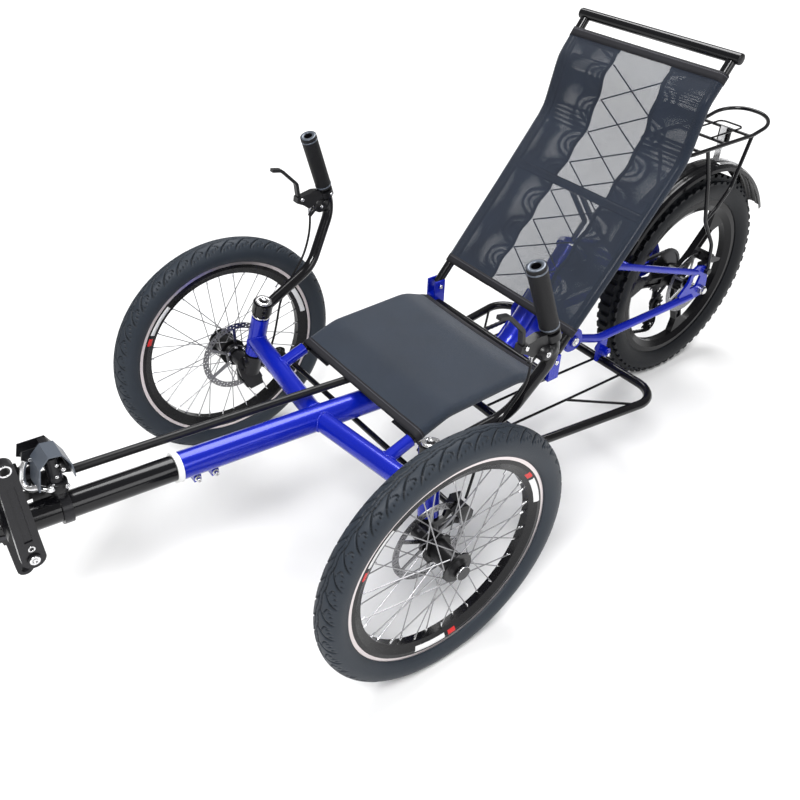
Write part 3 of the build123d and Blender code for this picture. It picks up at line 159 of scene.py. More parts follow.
def shell(outer, inner):
    """Thin closed sheet between two grids of one shape: the front, the back turned over, and a band of
    quads round the edge."""
    rows, cols = outer.shape[:2]
    points = np.concatenate([outer.reshape(-1, 3), inner.reshape(-1, 3)])
    front = grid_faces(rows, cols)
    shift = rows * cols
    back = [[d + shift, c + shift, b + shift, a + shift] for a, b, c, d in front]
    rim = [r * cols for r in range(rows)] + [(rows - 1) * cols + c for c in range(1, cols)]
    rim += [r * cols + cols - 1 for r in range(rows - 2, -1, -1)] + list(range(cols - 2, 0, -1))
    edge = [[a, a + shift, b + shift, b] for a, b in zip(rim, rim[1:] + rim[:1])]
    return points, front + back + edge


# %% [markdown]
# ## From points to an object
#
# A piece keeps its place in its mesh, so its object stays at the origin, as the solids' objects do. It
# rides on a body and wears the finish it is given. It is shaded smooth unless `flat` is set, which lets the
# sides of a nut or of a fold show.

# %% joined solids, outward faces and pieces


def joined(solids):
    """Many solids as one list of points and one list of faces."""
    points, faces, count = [], [], 0
    for some_points, some_faces in solids:
        points.append(some_points)
        faces += [[corner + count for corner in face] for face in some_faces]
        count += len(some_points)
    return np.concatenate(points), faces


def outward(points, faces):
    """The faces, turned over if the solid's signed volume, the sum of a . (b x c) / 6, is negative."""
    corners = np.array([[f[0], f[i], f[i + 1]] for f in faces for i in range(1, len(f) - 1)])
    a, b, c = points[corners[:, 0]], points[corners[:, 1]], points[corners[:, 2]]
    volume = np.einsum("ij,ij->i", a, np.cross(b, c)).sum()
    return faces if volume >= 0 else [face[::-1] for face in faces]


def piece(name, solid, look, body, flat=False, uv=None):
    """A new object from points and faces, in a finish, that rides on a body of the frame."""
    points, faces = solid
    mesh = bpy.data.meshes.new(name)
    mesh.from_pydata(points.tolist(), [], faces)
    mesh.polygons.foreach_set("use_smooth", [not flat] * len(mesh.polygons))
    if uv is not None:
        layer = mesh.uv_layers.new(name="cloth")
        corner = np.empty(len(mesh.loops), dtype=np.int64)
        mesh.loops.foreach_get("vertex_index", corner)
        layer.data.foreach_set("uv", uv[corner].ravel())
    mesh.materials.append(look)
    mesh.update()
    made = bpy.data.objects.new(name, mesh)
    bpy.context.scene.collection.objects.link(made)
    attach(made, body)
    return made


def fitting(name, solids, look, body, flat=False, uv=None):
    """Several small solids as one piece, with its faces outward."""
    points, faces = joined(solids)
    return piece(name, (points, outward(points, faces)), look, body, flat=flat, uv=uv)


# %% [markdown]
# ## Paint and other finishes
#
# One function makes every finish. It takes a colour, a roughness and how metallic the surface is, and
# lays a faint noise over the roughness, the height and the colour so that no surface looks computed. The
# noise is placed by object coordinates, which stay with the piece when it moves. Masks worked out by small
# formulas from the same coordinates add what is painted, machined or drilled: they are built by `calc`.

# %% steps of a node tree


def calc(tree, kind, *values):
    """One step of a formula in a node tree: numbers are set, sockets are linked, the answer is a socket."""
    node = tree.nodes.new("ShaderNodeMath")
    node.operation = kind
    for socket, value in zip(node.inputs, values):
        if isinstance(value, (int, float)):
            socket.default_value = value
        else:
            tree.links.new(value, socket)
    return node.outputs[0]


def raised(tree, height, strength, distance, invert=False):
    """Tilt the surface's normal by the slope of a height, so that it looks raised where that is large."""
    bump = tree.nodes.new("ShaderNodeBump")
    bump.inputs["Strength"].default_value = strength
    bump.inputs["Distance"].default_value = distance
    bump.invert = invert
    tree.links.new(height, bump.inputs["Height"])
    tree.links.new(bump.outputs["Normal"], tree.nodes["Principled BSDF"].inputs["Normal"])


def axes(tree, flat=False):
    """Sockets X, Y and Z of a surface point's object coordinates, or of its flat ones on a cloth."""
    if flat:
        place = tree.nodes.new("ShaderNodeUVMap")
        place.uv_map = "cloth"
        source = place.outputs["UV"]
    else:
        source = tree.nodes.new("ShaderNodeTexCoord").outputs["Object"]
    split = tree.nodes.new("ShaderNodeSeparateXYZ")
    tree.links.new(source, split.inputs["Vector"])
    return split.outputs


# %% [markdown]
# ## The finish that every surface starts from
#
# Real paint, rubber and metal vary a little from place to place. One fine noise stirs the roughness and
# raises the surface, and one coarse noise makes the colour a little lighter and darker. A picture of the
# surface would need its own flat map, and a noise in space fits every shape as it is.

# %% a finish stirred by noise


def finish(name, colour, rough, metal=0.0, coat=0.0, grain=120.0, bump=0.02, vary=0.08, cloudy=0.15,
           gloss=0.5):
    """A surface whose colour, roughness and height are stirred by noise.

    With a fine noise n from 0 to 1, grain cells to the metre, the roughness is rough + vary (2 n - 1), and
    bump is how strongly n raises the surface. A coarse noise scales the colour from 1 - cloudy to
    1 + cloudy. metal, coat and gloss are how metallic, how lacquered and how mirror-like it is."""
    made = bpy.data.materials.new(name)
    made.use_nodes = True
    tree = made.node_tree
    shader = tree.nodes["Principled BSDF"]
    place = tree.nodes.new("ShaderNodeTexCoord")
    noise = tree.nodes.new("ShaderNodeTexNoise")
    noise.inputs["Scale"].default_value = grain
    noise.inputs["Detail"].default_value = 4.0
    tree.links.new(place.outputs["Object"], noise.inputs["Vector"])
    swing = calc(tree, "MULTIPLY_ADD", noise.outputs["Fac"], 2 * vary, rough - vary)
    tree.links.new(swing, shader.inputs["Roughness"])
    raised(tree, noise.outputs["Fac"], bump, 0.002)
    clouds = tree.nodes.new("ShaderNodeTexNoise")
    clouds.inputs["Scale"].default_value = 14.0
    tree.links.new(place.outputs["Object"], clouds.inputs["Vector"])
    tint = tree.nodes.new("ShaderNodeMix")
    tint.data_type = "RGBA"
    tint.inputs["A"].default_value = (*[c * (1 - cloudy) for c in colour], 1.0)
    tint.inputs["B"].default_value = (*[min(c * (1 + cloudy), 1.0) for c in colour], 1.0)
    tree.links.new(clouds.outputs["Fac"], tint.inputs["Factor"])
    tree.links.new(tint.outputs["Result"], shader.inputs["Base Color"])
    shader.inputs["Metallic"].default_value = metal
    shader.inputs["Coat Weight"].default_value = coat
    shader.inputs["Coat Roughness"].default_value = 0.04
    shader.inputs["Specular IOR Level"].default_value = gloss
    return made


# %% [markdown]
# ## Masks
#
# What is painted, machined or drilled on a round part is easiest to say by its radius and its angle about
# the axle. `between` is 1 in a band of such a value, and `painted` lays a colour where a mask is 1.

# %% masks and what they paint


def painted(made, mask, colour, rough=None, metal=None):
    """Lay another colour over a finish where a mask is 1, and mix its metal and roughness by the mask."""
    tree = made.node_tree
    shader = tree.nodes["Principled BSDF"]
    under = shader.inputs["Base Color"].links[0].from_socket
    mix = tree.nodes.new("ShaderNodeMix")
    mix.data_type = "RGBA"
    mix.inputs["B"].default_value = (*colour, 1.0)
    tree.links.new(mask, mix.inputs["Factor"])
    tree.links.new(under, mix.inputs["A"])
    tree.links.new(mix.outputs["Result"], shader.inputs["Base Color"])
    if metal is not None:
        base = shader.inputs["Metallic"].default_value
        tree.links.new(calc(tree, "MULTIPLY_ADD", mask, metal - base, base), shader.inputs["Metallic"])
    if rough is not None:
        old = shader.inputs["Roughness"].links[0].from_socket
        blend = calc(tree, "MULTIPLY_ADD", calc(tree, "SUBTRACT", rough, old), mask, old)
        tree.links.new(blend, shader.inputs["Roughness"])
    return made


def span(tree, a, b):
    """The length of the line (a, b), which is the root of a a + b b."""
    return calc(tree, "SQRT", calc(tree, "ADD", calc(tree, "MULTIPLY", a, a), calc(tree, "MULTIPLY", b, b)))


def polar(tree, centre):
    """Radius and angle, in radians, of a surface point about a wheel's axle at a centre (y, z)."""
    place = axes(tree)
    y = calc(tree, "SUBTRACT", place["Y"], centre[0])
    z = calc(tree, "SUBTRACT", place["Z"], centre[1])
    return span(tree, y, z), calc(tree, "ARCTAN2", z, y)


def between(tree, value, low, high):
    """1 where a value lies between two numbers."""
    above = calc(tree, "GREATER_THAN", value, low)
    return calc(tree, "MULTIPLY", above, calc(tree, "LESS_THAN", value, high))


# %% [markdown]
# ## Finishes with a pattern
#
# The spokes are part of the hub's solid, so the hub's finish turns to bright steel outside its flanges.
# The rim is black with a bright machined ring and a few plain painted bars. The brake discs are drilled:
# their surface is cut away inside rows of small circles, worked out in turns about the axle. All three
# read the radius and the angle about the axle, so that the pattern turns with the wheel.

# %% hub, rim and disc finishes
FRONT_HUB = (SHIFT, FRONT_R)
REAR_HUB = (WHEELBASE + SHIFT, REAR_R)
FLANGE_R = 0.0302
RING_BAND = (0.2025, 0.2100)
BAR_BAND = (0.1885, 0.1985)
BARS_ROUND = 3
WHITE_BAR = (0.08, 0.25)
RED_BAR = (0.27, 0.31)
HOLE_ROWS = ((0.0705, 0.0), (0.0740, 0.5), (0.0775, 0.0))
HOLES_ROUND = 30
HOLE_R = 0.0019


def hub_finish(centre):
    """Dark alloy within the flanges and steel wire outside them."""
    made = finish("hub and spokes", (0.012, 0.012, 0.013), 0.32, metal=0.5, coat=0.1, grain=400, gloss=0.3)
    tree = made.node_tree
    radius, _ = polar(tree, centre)
    wire = calc(tree, "GREATER_THAN", radius, FLANGE_R)
    return painted(made, wire, (0.34, 0.34, 0.35), rough=0.42, metal=1.0)


def rim_finish(centre):
    """Black rim with a bright ring at its edge, and plain white and red bars below the ring.

    A bar lies where the share of a third of a turn is between two numbers."""
    made = finish("rim", (0.004, 0.004, 0.005), 0.26, coat=0.05, grain=400, gloss=0.22)
    tree = made.node_tree
    radius, angle = polar(tree, centre)
    ring = between(tree, radius, *RING_BAND)
    share = calc(tree, "FRACT", calc(tree, "MULTIPLY", angle, BARS_ROUND / (2 * math.pi)))
    track = between(tree, radius, *BAR_BAND)
    painted(made, calc(tree, "MULTIPLY", track, between(tree, share, *WHITE_BAR)), (0.72, 0.72, 0.72))
    painted(made, calc(tree, "MULTIPLY", track, between(tree, share, *RED_BAR)), (0.55, 0.02, 0.02))
    return painted(made, ring, (0.66, 0.60, 0.60), rough=0.28, metal=1.0)


def disc_finish(centre):
    """Brushed steel disc drilled with three rows of holes.

    In a row, a point is open where its distance from the middle of its own share of the turn is under the
    hole's radius."""
    made = finish("brake disc", (0.22, 0.22, 0.23), 0.28, metal=1.0, grain=600)
    tree = made.node_tree
    radius, angle = polar(tree, centre)
    closed = 1.0
    for row_r, phase in HOLE_ROWS:
        turns = calc(tree, "MULTIPLY_ADD", angle, HOLES_ROUND / (2 * math.pi), phase + HOLES_ROUND)
        middle = calc(tree, "SUBTRACT", calc(tree, "FRACT", turns), 0.5)
        along = calc(tree, "MULTIPLY", middle, 2 * math.pi * row_r / HOLES_ROUND)
        away = span(tree, along, calc(tree, "SUBTRACT", radius, row_r))
        closed = calc(tree, "MULTIPLY", calc(tree, "GREATER_THAN", away, HOLE_R), closed)
    tree.links.new(closed, tree.nodes["Principled BSDF"].inputs["Alpha"])
    return made


# %% [markdown]
# ## Mesh cloth
#
# The seat is a coarse knitted mesh that shows what is behind it. Its holes are cut by the sheet's own flat
# coordinates, so they are square and of one size wherever the cloth bends: with `a = sin(2 pi u / p)` and
# `b = sin(2 pi v / p)`, a point is open where `|a b|` is above a level. The threads are raised by the same
# formula. Real threads would need millions of triangles, and a mask looks the same from this far.

# %% mesh cloth finish
DOT_LEVEL = 0.62
DOT_SHADE = 0.35
STITCH_BAND = (0.72, 0.80)
STITCHES = 260.0


def mesh_finish(name, colour, pitch, level, fold=None):
    """Knitted mesh with holes a pitch apart, open where the product of two sines is above a level.

    A level of 1 leaves no hole open, and dark dots take their place. fold gives the two places across the
    sheet outside which it is folded back, pressed together and closed to another level."""
    made = finish(name, colour, 0.66, grain=700, bump=0.0, cloudy=0.3, gloss=0.25)
    tree = made.node_tree
    flat = axes(tree, flat=True)
    waves = [calc(tree, "SINE", calc(tree, "MULTIPLY", flat[axis], 2 * math.pi / pitch)) for axis in "XY"]
    knit = calc(tree, "ABSOLUTE", calc(tree, "MULTIPLY", *waves))
    shader = tree.nodes["Principled BSDF"]
    if level < 1:
        limit = level
        if fold is not None:
            flap = calc(tree, "SUBTRACT", 1.0, between(tree, flat["X"], *fold[:2]))
            limit = calc(tree, "MULTIPLY_ADD", flap, fold[2] - level, level)
        tree.links.new(calc(tree, "LESS_THAN", knit, limit), shader.inputs["Alpha"])
    else:
        painted(made, calc(tree, "GREATER_THAN", knit, DOT_LEVEL), [c * DOT_SHADE for c in colour])
    raised(tree, knit, 0.7, 0.0006, invert=True)
    shader.inputs["Sheen Weight"].default_value = 0.12
    shader.inputs["Sheen Roughness"].default_value = 0.5
    return made


def stitched_finish(name, colour):
    """Closed webbing with a lighter line of stitches: dashes along X within a narrow band across it."""
    made = finish(name, colour, 0.70, grain=900, bump=0.25, cloudy=0.2, gloss=0.25)
    tree = made.node_tree
    flat = axes(tree, flat=True)
    line = between(tree, flat["Y"], *STITCH_BAND)
    dash = calc(tree, "GREATER_THAN", calc(tree, "FRACT", calc(tree, "MULTIPLY", flat["X"], STITCHES)), 0.3)
    return painted(made, calc(tree, "MULTIPLY", line, dash), (0.06, 0.06, 0.07))


# %% [markdown]
# ## One finish for each slot
#
# The record names a slot for every solid, such as `frame_blue` for the painted tubes. Most of the blacks
# on the real trike differ only in gloss: lacquered tubes, castings, plastic and rubber. Their colours are
# close to black and their `gloss` is low, because a black surface is seen mostly by what it mirrors.

# %% the finishes, by the record's slots
FINISHES = {
    "frame_blue": finish("blue paint", (0.002, 0.012, 0.36), 0.26, metal=0.25, coat=0.35, grain=900,
                         gloss=0.3),
    "frame_black": finish("black paint", (0.004, 0.004, 0.005), 0.15, coat=0.15, grain=300, vary=0.05,
                          gloss=0.25),
    "cast_black": finish("cast paint", (0.003, 0.003, 0.004), 0.20, coat=0.05, grain=300, vary=0.05,
                         gloss=0.15),
    "rim_black": rim_finish(FRONT_HUB),
    "hub_dark": finish("dark alloy", (0.010, 0.010, 0.012), 0.30, metal=0.3, coat=0.1, grain=400, gloss=0.3),
    "steel": finish("steel", (0.46, 0.46, 0.47), 0.28, metal=1.0, grain=700),
    "alloy": finish("bright alloy", (0.70, 0.70, 0.71), 0.24, metal=1.0, grain=600),
    "black_plastic": finish("black plastic", (0.006, 0.006, 0.007), 0.34, grain=800, bump=0.06, gloss=0.28),
    "white_plastic": finish("white plastic", (0.78, 0.78, 0.77), 0.40, grain=500),
    "grip_rubber": finish("grip rubber", (0.008, 0.008, 0.009), 0.55, grain=1500, bump=0.3, gloss=0.2),
    "tyre_rubber": finish("tyre rubber", (0.006, 0.007, 0.009), 0.48, grain=700, bump=0.15, gloss=0.14),
    "mesh_cloth": mesh_finish("mesh cloth", (0.011, 0.018, 0.034), 0.0034, 0.62, fold=(0.134, 0.536, 0.92)),
}
BRIGHT = FINISHES["alloy"]
DENSE_CLOTH = mesh_finish("dense mesh cloth", (0.016, 0.025, 0.042), 0.0030, 1.0)
WEBBING = stitched_finish("webbing", (0.010, 0.010, 0.013))
print("finishes for the slots:", len(FINISHES))

# %% [markdown]
# ## Finishes that need more than a slot
#
# The grooves of the front tyres get painted shade: the tread reads a `groove` value that its mesh
# carries and is painted darker there. The fender is glossy plastic with shallow ridges along it, which are a
# wave across X. Sprockets, chain, chainrings, hubs and discs get their own finish on the solids
# themselves. `SLOT_OF` says which of the record's slots each finish belongs to.

# %% tread, fender and other special finishes
RIDGE_PITCH = 0.017
RIDGE_FROM = 0.55


def tread_finish():
    """Tyre rubber with painted shade in the grooves, by the mesh's own attribute."""
    made = finish("tread rubber", (0.019, 0.025, 0.034), 0.50, grain=700, bump=0.15, gloss=0.25)
    groove = made.node_tree.nodes.new("ShaderNodeAttribute")
    groove.attribute_name = "groove"
    # painted shade: the deeper the tread is cut at a point, the darker its colour
    return painted(made, groove.outputs["Fac"], (0.0015, 0.002, 0.003))


def fender_finish():
    """Glossy black plastic with ridges along its length, at the places across X where a cosine is high."""
    made = finish("fender plastic", (0.003, 0.003, 0.004), 0.16, coat=0.08, grain=300, gloss=0.18)
    tree = made.node_tree
    wave = calc(tree, "COSINE", calc(tree, "MULTIPLY", axes(tree)["X"], 2 * math.pi / RIDGE_PITCH))
    raised(tree, calc(tree, "MAXIMUM", wave, RIDGE_FROM), 1.0, 0.0035)
    return made


TREAD_RUBBER = tread_finish()
CAST_GREY = finish("cast grey", (0.085, 0.10, 0.125), 0.34, metal=0.4, coat=0.2, grain=500)
BLACK_BOLT = finish("black bolt", (0.02, 0.02, 0.021), 0.30, metal=0.8, grain=900)
SLOT_OF = {look.name: slot for slot, look in FINISHES.items()}
SLOT_OF.update({
    DENSE_CLOTH.name: "mesh_cloth",
    WEBBING.name: "black_plastic",
    TREAD_RUBBER.name: "tyre_rubber",
    CAST_GREY.name: "hub_dark",
    BLACK_BOLT.name: "hub_dark",
})
DARK_STEEL = finish("dark steel", (0.045, 0.045, 0.050), 0.36, metal=0.85, grain=800)
RING_BLACK = finish("black ring", (0.008, 0.008, 0.009), 0.34, coat=0.1, grain=800, gloss=0.3)
SPECIAL = {
    "fender": fender_finish(),
    "cassette": DARK_STEEL,
    "chain": DARK_STEEL,
    "chainrings": RING_BLACK,
    "hub_left": hub_finish(FRONT_HUB),
    "hub_right": hub_finish(FRONT_HUB),
    "rotor_left": disc_finish(FRONT_HUB),
    "rotor_right": disc_finish(FRONT_HUB),
    "rotor_rear": disc_finish(REAR_HUB),
}
for sub in frame["record"]["subparts"]:
    node = nodes[sub["node"]]
    node.data.materials.clear()
    node.data.materials.append(SPECIAL.get(sub["node"], FINISHES[sub["material_slot"]]))

# %% [markdown]
# ## The seat's cloth
#
# Both slings are wrapped round the side tubes and come back underneath, where a lace pulls their edges
# together. They are taut, so they need no cloth simulation: their shape is that of the tubes. The sheet is
# swept: a line in the (y, z) plane gives a point `P(v)` and a unit normal `N(v)`, a section across gives an
# `x(u)` and a height `d(u)`, and the sheet is
#
#     S(u, v) = x(u) X + P(v) + d(u) N(v)
#
# The section runs straight below the tubes, round each tube in a half circle and straight over the top.

# %% sizes of the slings and the line along them
CLOTH_R = 0.0113
SEAT_HALF = 0.180
FOLD_X = 0.064
LACE_STEP = 0.070
LACE_START = 0.030
LACE_PULL = 0.005
END_HEM = 0.020
SIDE_HEM = 0.010
BASE_LINE = [(0.084, 0.3361), (0.160, 0.362), (0.340, 0.366), (0.404, 0.3402)]
BASE_BENDS = [0.080, 0.080]
BACK_LINE = [(0.466, 0.4161), (0.600, 0.574), (0.716, 0.716), (0.742, 0.820), (0.779, 0.8693)]
BACK_BENDS = [0.300, 0.110, 0.060]


def rounded(corners, bends, step):
    """Points about a step apart on a line of straight runs and tangent arcs, its unit normals, and how far
    along it each point is.

    An arc of radius b that turns by t begins b tan(t / 2) before its corner, and its centre lies b to the
    side of that point."""
    corners = [np.array(c, float) for c in corners]
    stops = [corners[0][None, :]]
    for before, corner, after, bend in zip(corners, corners[1:], corners[2:], bends):
        way_in = unit(corner - before)
        way_out = unit(after - corner)
        cross = way_in[0] * way_out[1] - way_in[1] * way_out[0]
        turn = math.atan2(cross, way_in @ way_out)
        start = corner - way_in * bend * math.tan(abs(turn) / 2)
        hub = start + np.sign(turn) * bend * np.array([-way_in[1], way_in[0]])
        swing = np.linspace(0, turn, max(3, round(abs(turn) * bend / step)))[:, None]
        spoke = start - hub
        quarter = np.array([-spoke[1], spoke[0]])
        stops.append(hub + spoke * np.cos(swing) + quarter * np.sin(swing))
    stops.append(corners[-1][None, :])
    rough = np.concatenate(stops)
    length = np.concatenate([[0], np.cumsum(np.linalg.norm(np.diff(rough, axis=0), axis=1))])
    even = np.linspace(0, length[-1], round(length[-1] / step))
    line = np.stack([np.interp(even, length, rough[:, i]) for i in (0, 1)], axis=1)
    way = unit(np.gradient(line, axis=0))
    return line, np.stack([-way[:, 1], way[:, 0]], axis=1), even


# %% [markdown]
# ## Across the sling
#
# The cloth goes round each side tube at `CLOTH_R` from its axis, and between the tubes it sags by 1 mm on
# the back and by 4 mm on the base. The same section is used at every place along the line, so one grid
# holds the whole sheet.

# %% the section and the swept sheet


def section(edge_x, sag):
    """Section across a sling, from one edge under the tubes to the other: x, height, their normals, and
    how far along the cloth each point is. The top sags as sag (1 - (x / half) ** 2)."""
    under = np.linspace(edge_x, SEAT_HALF, 14)[:-1]
    bend = np.linspace(-math.pi / 2, math.pi / 2, 13)
    over = np.linspace(SEAT_HALF, -SEAT_HALF, 48)[1:-1]
    top = CLOTH_R - sag * (1 - (over / SEAT_HALF) ** 2)
    below = np.full(len(under), -CLOTH_R)
    x = np.concatenate([under, SEAT_HALF + CLOTH_R * np.cos(bend), over,
                        -SEAT_HALF - CLOTH_R * np.cos(bend[::-1]), -under[::-1]])
    height = np.concatenate([below, CLOTH_R * np.sin(bend), top, CLOTH_R * np.sin(bend[::-1]), below])
    way = unit(np.stack([np.gradient(x), np.gradient(height)], axis=1))
    along = np.concatenate([[0], np.cumsum(np.hypot(np.diff(x), np.diff(height)))])
    return x, height, way[:, 1], -way[:, 0], along


def swept(line, normals, x, height):
    """The sheet S(u, v) for all u and v at once, as rows along v and columns along u."""
    y = line[:, 0][:, None] + height * normals[:, 0][:, None]
    z = line[:, 1][:, None] + height * normals[:, 1][:, None]
    return grid_at(x, y, z)


# %% [markdown]
# ## Lace, hems and the two slings
#
# The lace under the seat holds the edge at each loop, and between two loops the edge springs back towards
# the tube, which is a cosine wave along the sheet. The hems are closed shells laid over the edges, with a
# line of stitches that follows their own flat coordinates.

# %% the slings with their hems


def flat_grid(first, second):
    """Flat coordinates of a grid as rows of pairs, from one array for each of the two."""
    return np.stack(np.broadcast_arrays(first, second), axis=-1).reshape(-1, 2)


def sling(name, corners, bends, edge_x, sag, look):
    """A seat sheet with its hems, wrapped round two rails.

    Between two loops of the lace, the edge underneath goes towards the tube by a cosine wave."""
    line, normals, v = rounded(corners, bends, 0.006)
    x, height, out_x, out_up, u = section(edge_x, sag)
    edge = np.clip((0.5 * (edge_x + SEAT_HALF) - np.abs(x)) / (0.5 * (SEAT_HALF - edge_x)), 0, 1)
    edge = np.where(height < 0, edge, 0.0)
    slack = 0.5 - 0.5 * np.cos(2 * math.pi * (v[:, None] - LACE_START) / LACE_STEP)
    pulled = x[None, :] + np.sign(x) * edge * slack * LACE_PULL
    grid = swept(line, normals, x, height)
    grid[..., 0] = pulled
    rows, cols = grid.shape[:2]
    flat = flat_grid(u[None, :], v[:, None])
    cloth = piece(name, (grid.reshape(-1, 3), grid_faces(rows, cols)), look, "frame", uv=flat)

    hems = []
    flats = []
    for rows_in in (v <= v[0] + END_HEM, v >= v[-1] - END_HEM):
        skins = [swept(line[rows_in], normals[rows_in], x + lift * out_x, height + lift * out_up)
                 for lift in (-0.0008, 0.0008)]
        hems.append(shell(*skins))
        across = np.linspace(0, 1, rows_in.sum())
        flats += [flat_grid(u[None, :], across[:, None])] * 2
    for cols_in in (u <= SIDE_HEM, u >= u[-1] - SIDE_HEM):
        skins = [swept(line, normals, x[cols_in], height[cols_in] + lift) for lift in (-0.0009, 0.0009)]
        for skin in skins:
            skin[..., 0] = pulled[:, cols_in]
        hems.append(shell(*skins))
        across = np.abs(np.linspace(0, 1, cols_in.sum()) - (0 if u[cols_in][0] > 0.1 else 1))
        flats += [flat_grid(v[:, None], across[None, :])] * 2
    hem = fitting(name + "_hems", hems, WEBBING, "frame", uv=np.concatenate(flats))
    print(name, "cut flat, in metres:", round(float(u[-1]), 3), "by", round(float(v[-1]), 3))
    return cloth


seat_back = sling("back_sling", BACK_LINE, BACK_BENDS, FOLD_X, 0.001, FINISHES["mesh_cloth"])
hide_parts("seat_back")
seat_base = sling("base_sling", BASE_LINE, BASE_BENDS, 0.110, 0.004, DENSE_CLOTH)
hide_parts("seat_base")

# %% [markdown]
# ## Front tyres
#
# A tyre is a closed section turned about the axle. The tread is cut into it: with the distance along the
# circumference `t` and the place across `s` from -1 to 1, a groove follows `t = k p + a f(|s|)`, so the
# distance to the nearest groove is the distance of `(t - a f) / p` from a whole number. Where that is
# small the surface is pushed in along the section's normal. Three families of grooves make leaf shapes:
# long swept ones, short ones between them near the shoulder, and two wavy lines beside the crown. A bump
# map would be lighter, but the grooves show at the tyre's outline, so they are cut for real.

# %% sizes of the tyre and an arc through three points
TYRE_W = 0.054
RIM_W = 0.030
TREAD_PITCH = 0.0362
TREAD_HALF = 0.0245
TREAD_ABOVE = 0.018
GROOVE_DEPTH = 0.0036
TYRE_STEPS = 1440


def arc_through(first, middle, last, count):
    """Points on the circle through three points, from the first to the last.

    Its centre is as far from each of the three, which is two linear equations, solved here by hand."""
    (ax, ay), (bx, by), (cx, cy) = first, middle, last
    d = 2 * (ax * (by - cy) + bx * (cy - ay) + cx * (ay - by))
    a2, b2, c2 = ax * ax + ay * ay, bx * bx + by * by, cx * cx + cy * cy
    hub = np.array([(a2 * (by - cy) + b2 * (cy - ay) + c2 * (ay - by)) / d,
                    (a2 * (cx - bx) + b2 * (ax - cx) + c2 * (bx - ax)) / d])
    start, via, stop = [math.atan2(p[1] - hub[1], p[0] - hub[0]) for p in (first, middle, last)]
    sweep = (stop - start) % (2 * math.pi)
    if (via - start) % (2 * math.pi) > sweep:
        sweep -= 2 * math.pi
    turn = start + np.linspace(0, sweep, count)
    radius = math.hypot(ax - hub[0], ay - hub[1])
    return hub + radius * np.stack([np.cos(turn), np.sin(turn)], axis=1)


# %% [markdown]
# ## The tread's formula
#
# `near_groove` is 1 on a groove and falls to 0 beside it. The long grooves sweep back towards the
# shoulder as a power of the distance from the crown. The short ones leave them, bow away and come back,
# which closes the shape of a leaf. The two sides are half a pitch apart, and nothing is cut past the
# shoulder.

# %% depth of the tread


def near_groove(phase, width):
    """1 on a groove and 0 beside it, from a phase that is a whole number on each groove."""
    away = np.abs(phase - np.round(phase))
    return np.clip(2.0 - 1.6 * away / width, 0, 1)


def tread(t, s):
    """Depth of the grooves, from 0 to 1, at the length t along the tread and the place s across it."""
    half = np.abs(s)
    mirror = np.where(s > 0, 0.5, 0.0)
    sweep = 0.046 * half ** 0.62
    long_cut = near_groove((t - sweep) / TREAD_PITCH + mirror, 0.046) * (half > 0.13)
    bow = 0.024 * np.sin(np.pi * np.clip((half - 0.40) / 0.58, 0, 1))
    short_cut = near_groove((t - sweep + bow) / TREAD_PITCH + mirror, 0.034)
    short_cut = short_cut * (half > 0.42) * (half < 0.96)
    wave = 0.13 + 0.05 * np.sin(2 * math.pi * t / TREAD_PITCH + np.pi * (s > 0))
    ring = np.clip(2.0 - 1.6 * np.abs(half - wave) / 0.034, 0, 1)
    fade = np.clip((1.02 - half) / 0.12, 0, 1)
    return np.maximum(np.maximum(long_cut, short_cut) * fade, ring)


# %% [markdown]
# ## The tyre's surface
#
# The outline goes from the rim's edge over one wall, the crown and the other wall, and back inside the
# rim, so the tyre is closed. A whole number of pitches fits round the tyre, and so the pattern has no
# seam.

# %% the two front tyres


def front_tyre(side):
    """One front tyre: the section turned about the axle, with the tread cut along its normals."""
    shoulder = RIM_R + 0.0002
    bead = RIM_R - 0.009 + 0.0002
    bead_x = RIM_W / 2 - 0.0022
    wall_x = bead_x + 0.004
    height = FRONT_R - shoulder
    tread_x, tread_r = 0.31 * TYRE_W, FRONT_R - 0.11 * height
    wall = arc_through((wall_x, shoulder), (TYRE_W / 2, shoulder + 0.46 * height), (tread_x, tread_r), 18)
    crown = arc_through((tread_x, tread_r), (0, FRONT_R), (-tread_x, tread_r), 28)
    other = wall[::-1] * [-1, 1]
    low = np.array([(-bead_x, shoulder), (-bead_x, bead), (bead_x, bead), (bead_x, shoulder)])
    outline = np.concatenate([wall, crown[1:-1], other, low])
    way = unit(np.roll(outline, -1, axis=0) - np.roll(outline, 1, axis=0))
    normal = np.stack([way[:, 1], -way[:, 0]], axis=1)
    turn = full_turn(TYRE_STEPS)[:, None]
    pitches = round(2 * math.pi * FRONT_R / TREAD_PITCH)
    t = turn * pitches * TREAD_PITCH / (2 * math.pi)
    across = outline[:, 0] / TREAD_HALF
    outside = outline[:, 1] > shoulder + TREAD_ABOVE
    cut = tread(t, np.broadcast_to(across, (TYRE_STEPS, len(across)))) * outside
    depth = GROOVE_DEPTH * cut
    x = outline[:, 0] - normal[:, 0] * depth
    radius = outline[:, 1] - normal[:, 1] * depth
    points = grid_at(side * (HALF_TRACK + x), radius * np.cos(turn), radius * np.sin(turn) + FRONT_R)
    faces = grid_faces(TYRE_STEPS, len(outline), round_rows=True, round_cols=True)
    return points.reshape(-1, 3), faces, cut.ravel()


for label, side in SIDES:
    points, faces, cut = front_tyre(side)
    made = piece("tread_" + label, (points, outward(points, faces)), TREAD_RUBBER, "wheel_" + label)
    # the depth of the cut, which the tread's finish turns into painted shade
    groove = made.data.attributes.new("groove", "FLOAT", "POINT")
    groove.data.foreach_set("value", np.clip(cut, 0, 1))
    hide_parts("tyre_" + label)
    print(made.name, "has", len(faces), "quads")

# %% [markdown]
# ## Nipples, bolts and other small bright pieces
#
# Each is one small turned solid, repeated round its wheel. The spokes end where the solid hub's do, so the
# same formula gives the nipples their places round the rim. A modelled nut or screw head is tiny in the
# picture, but its bright glint is what makes a wheel look real.

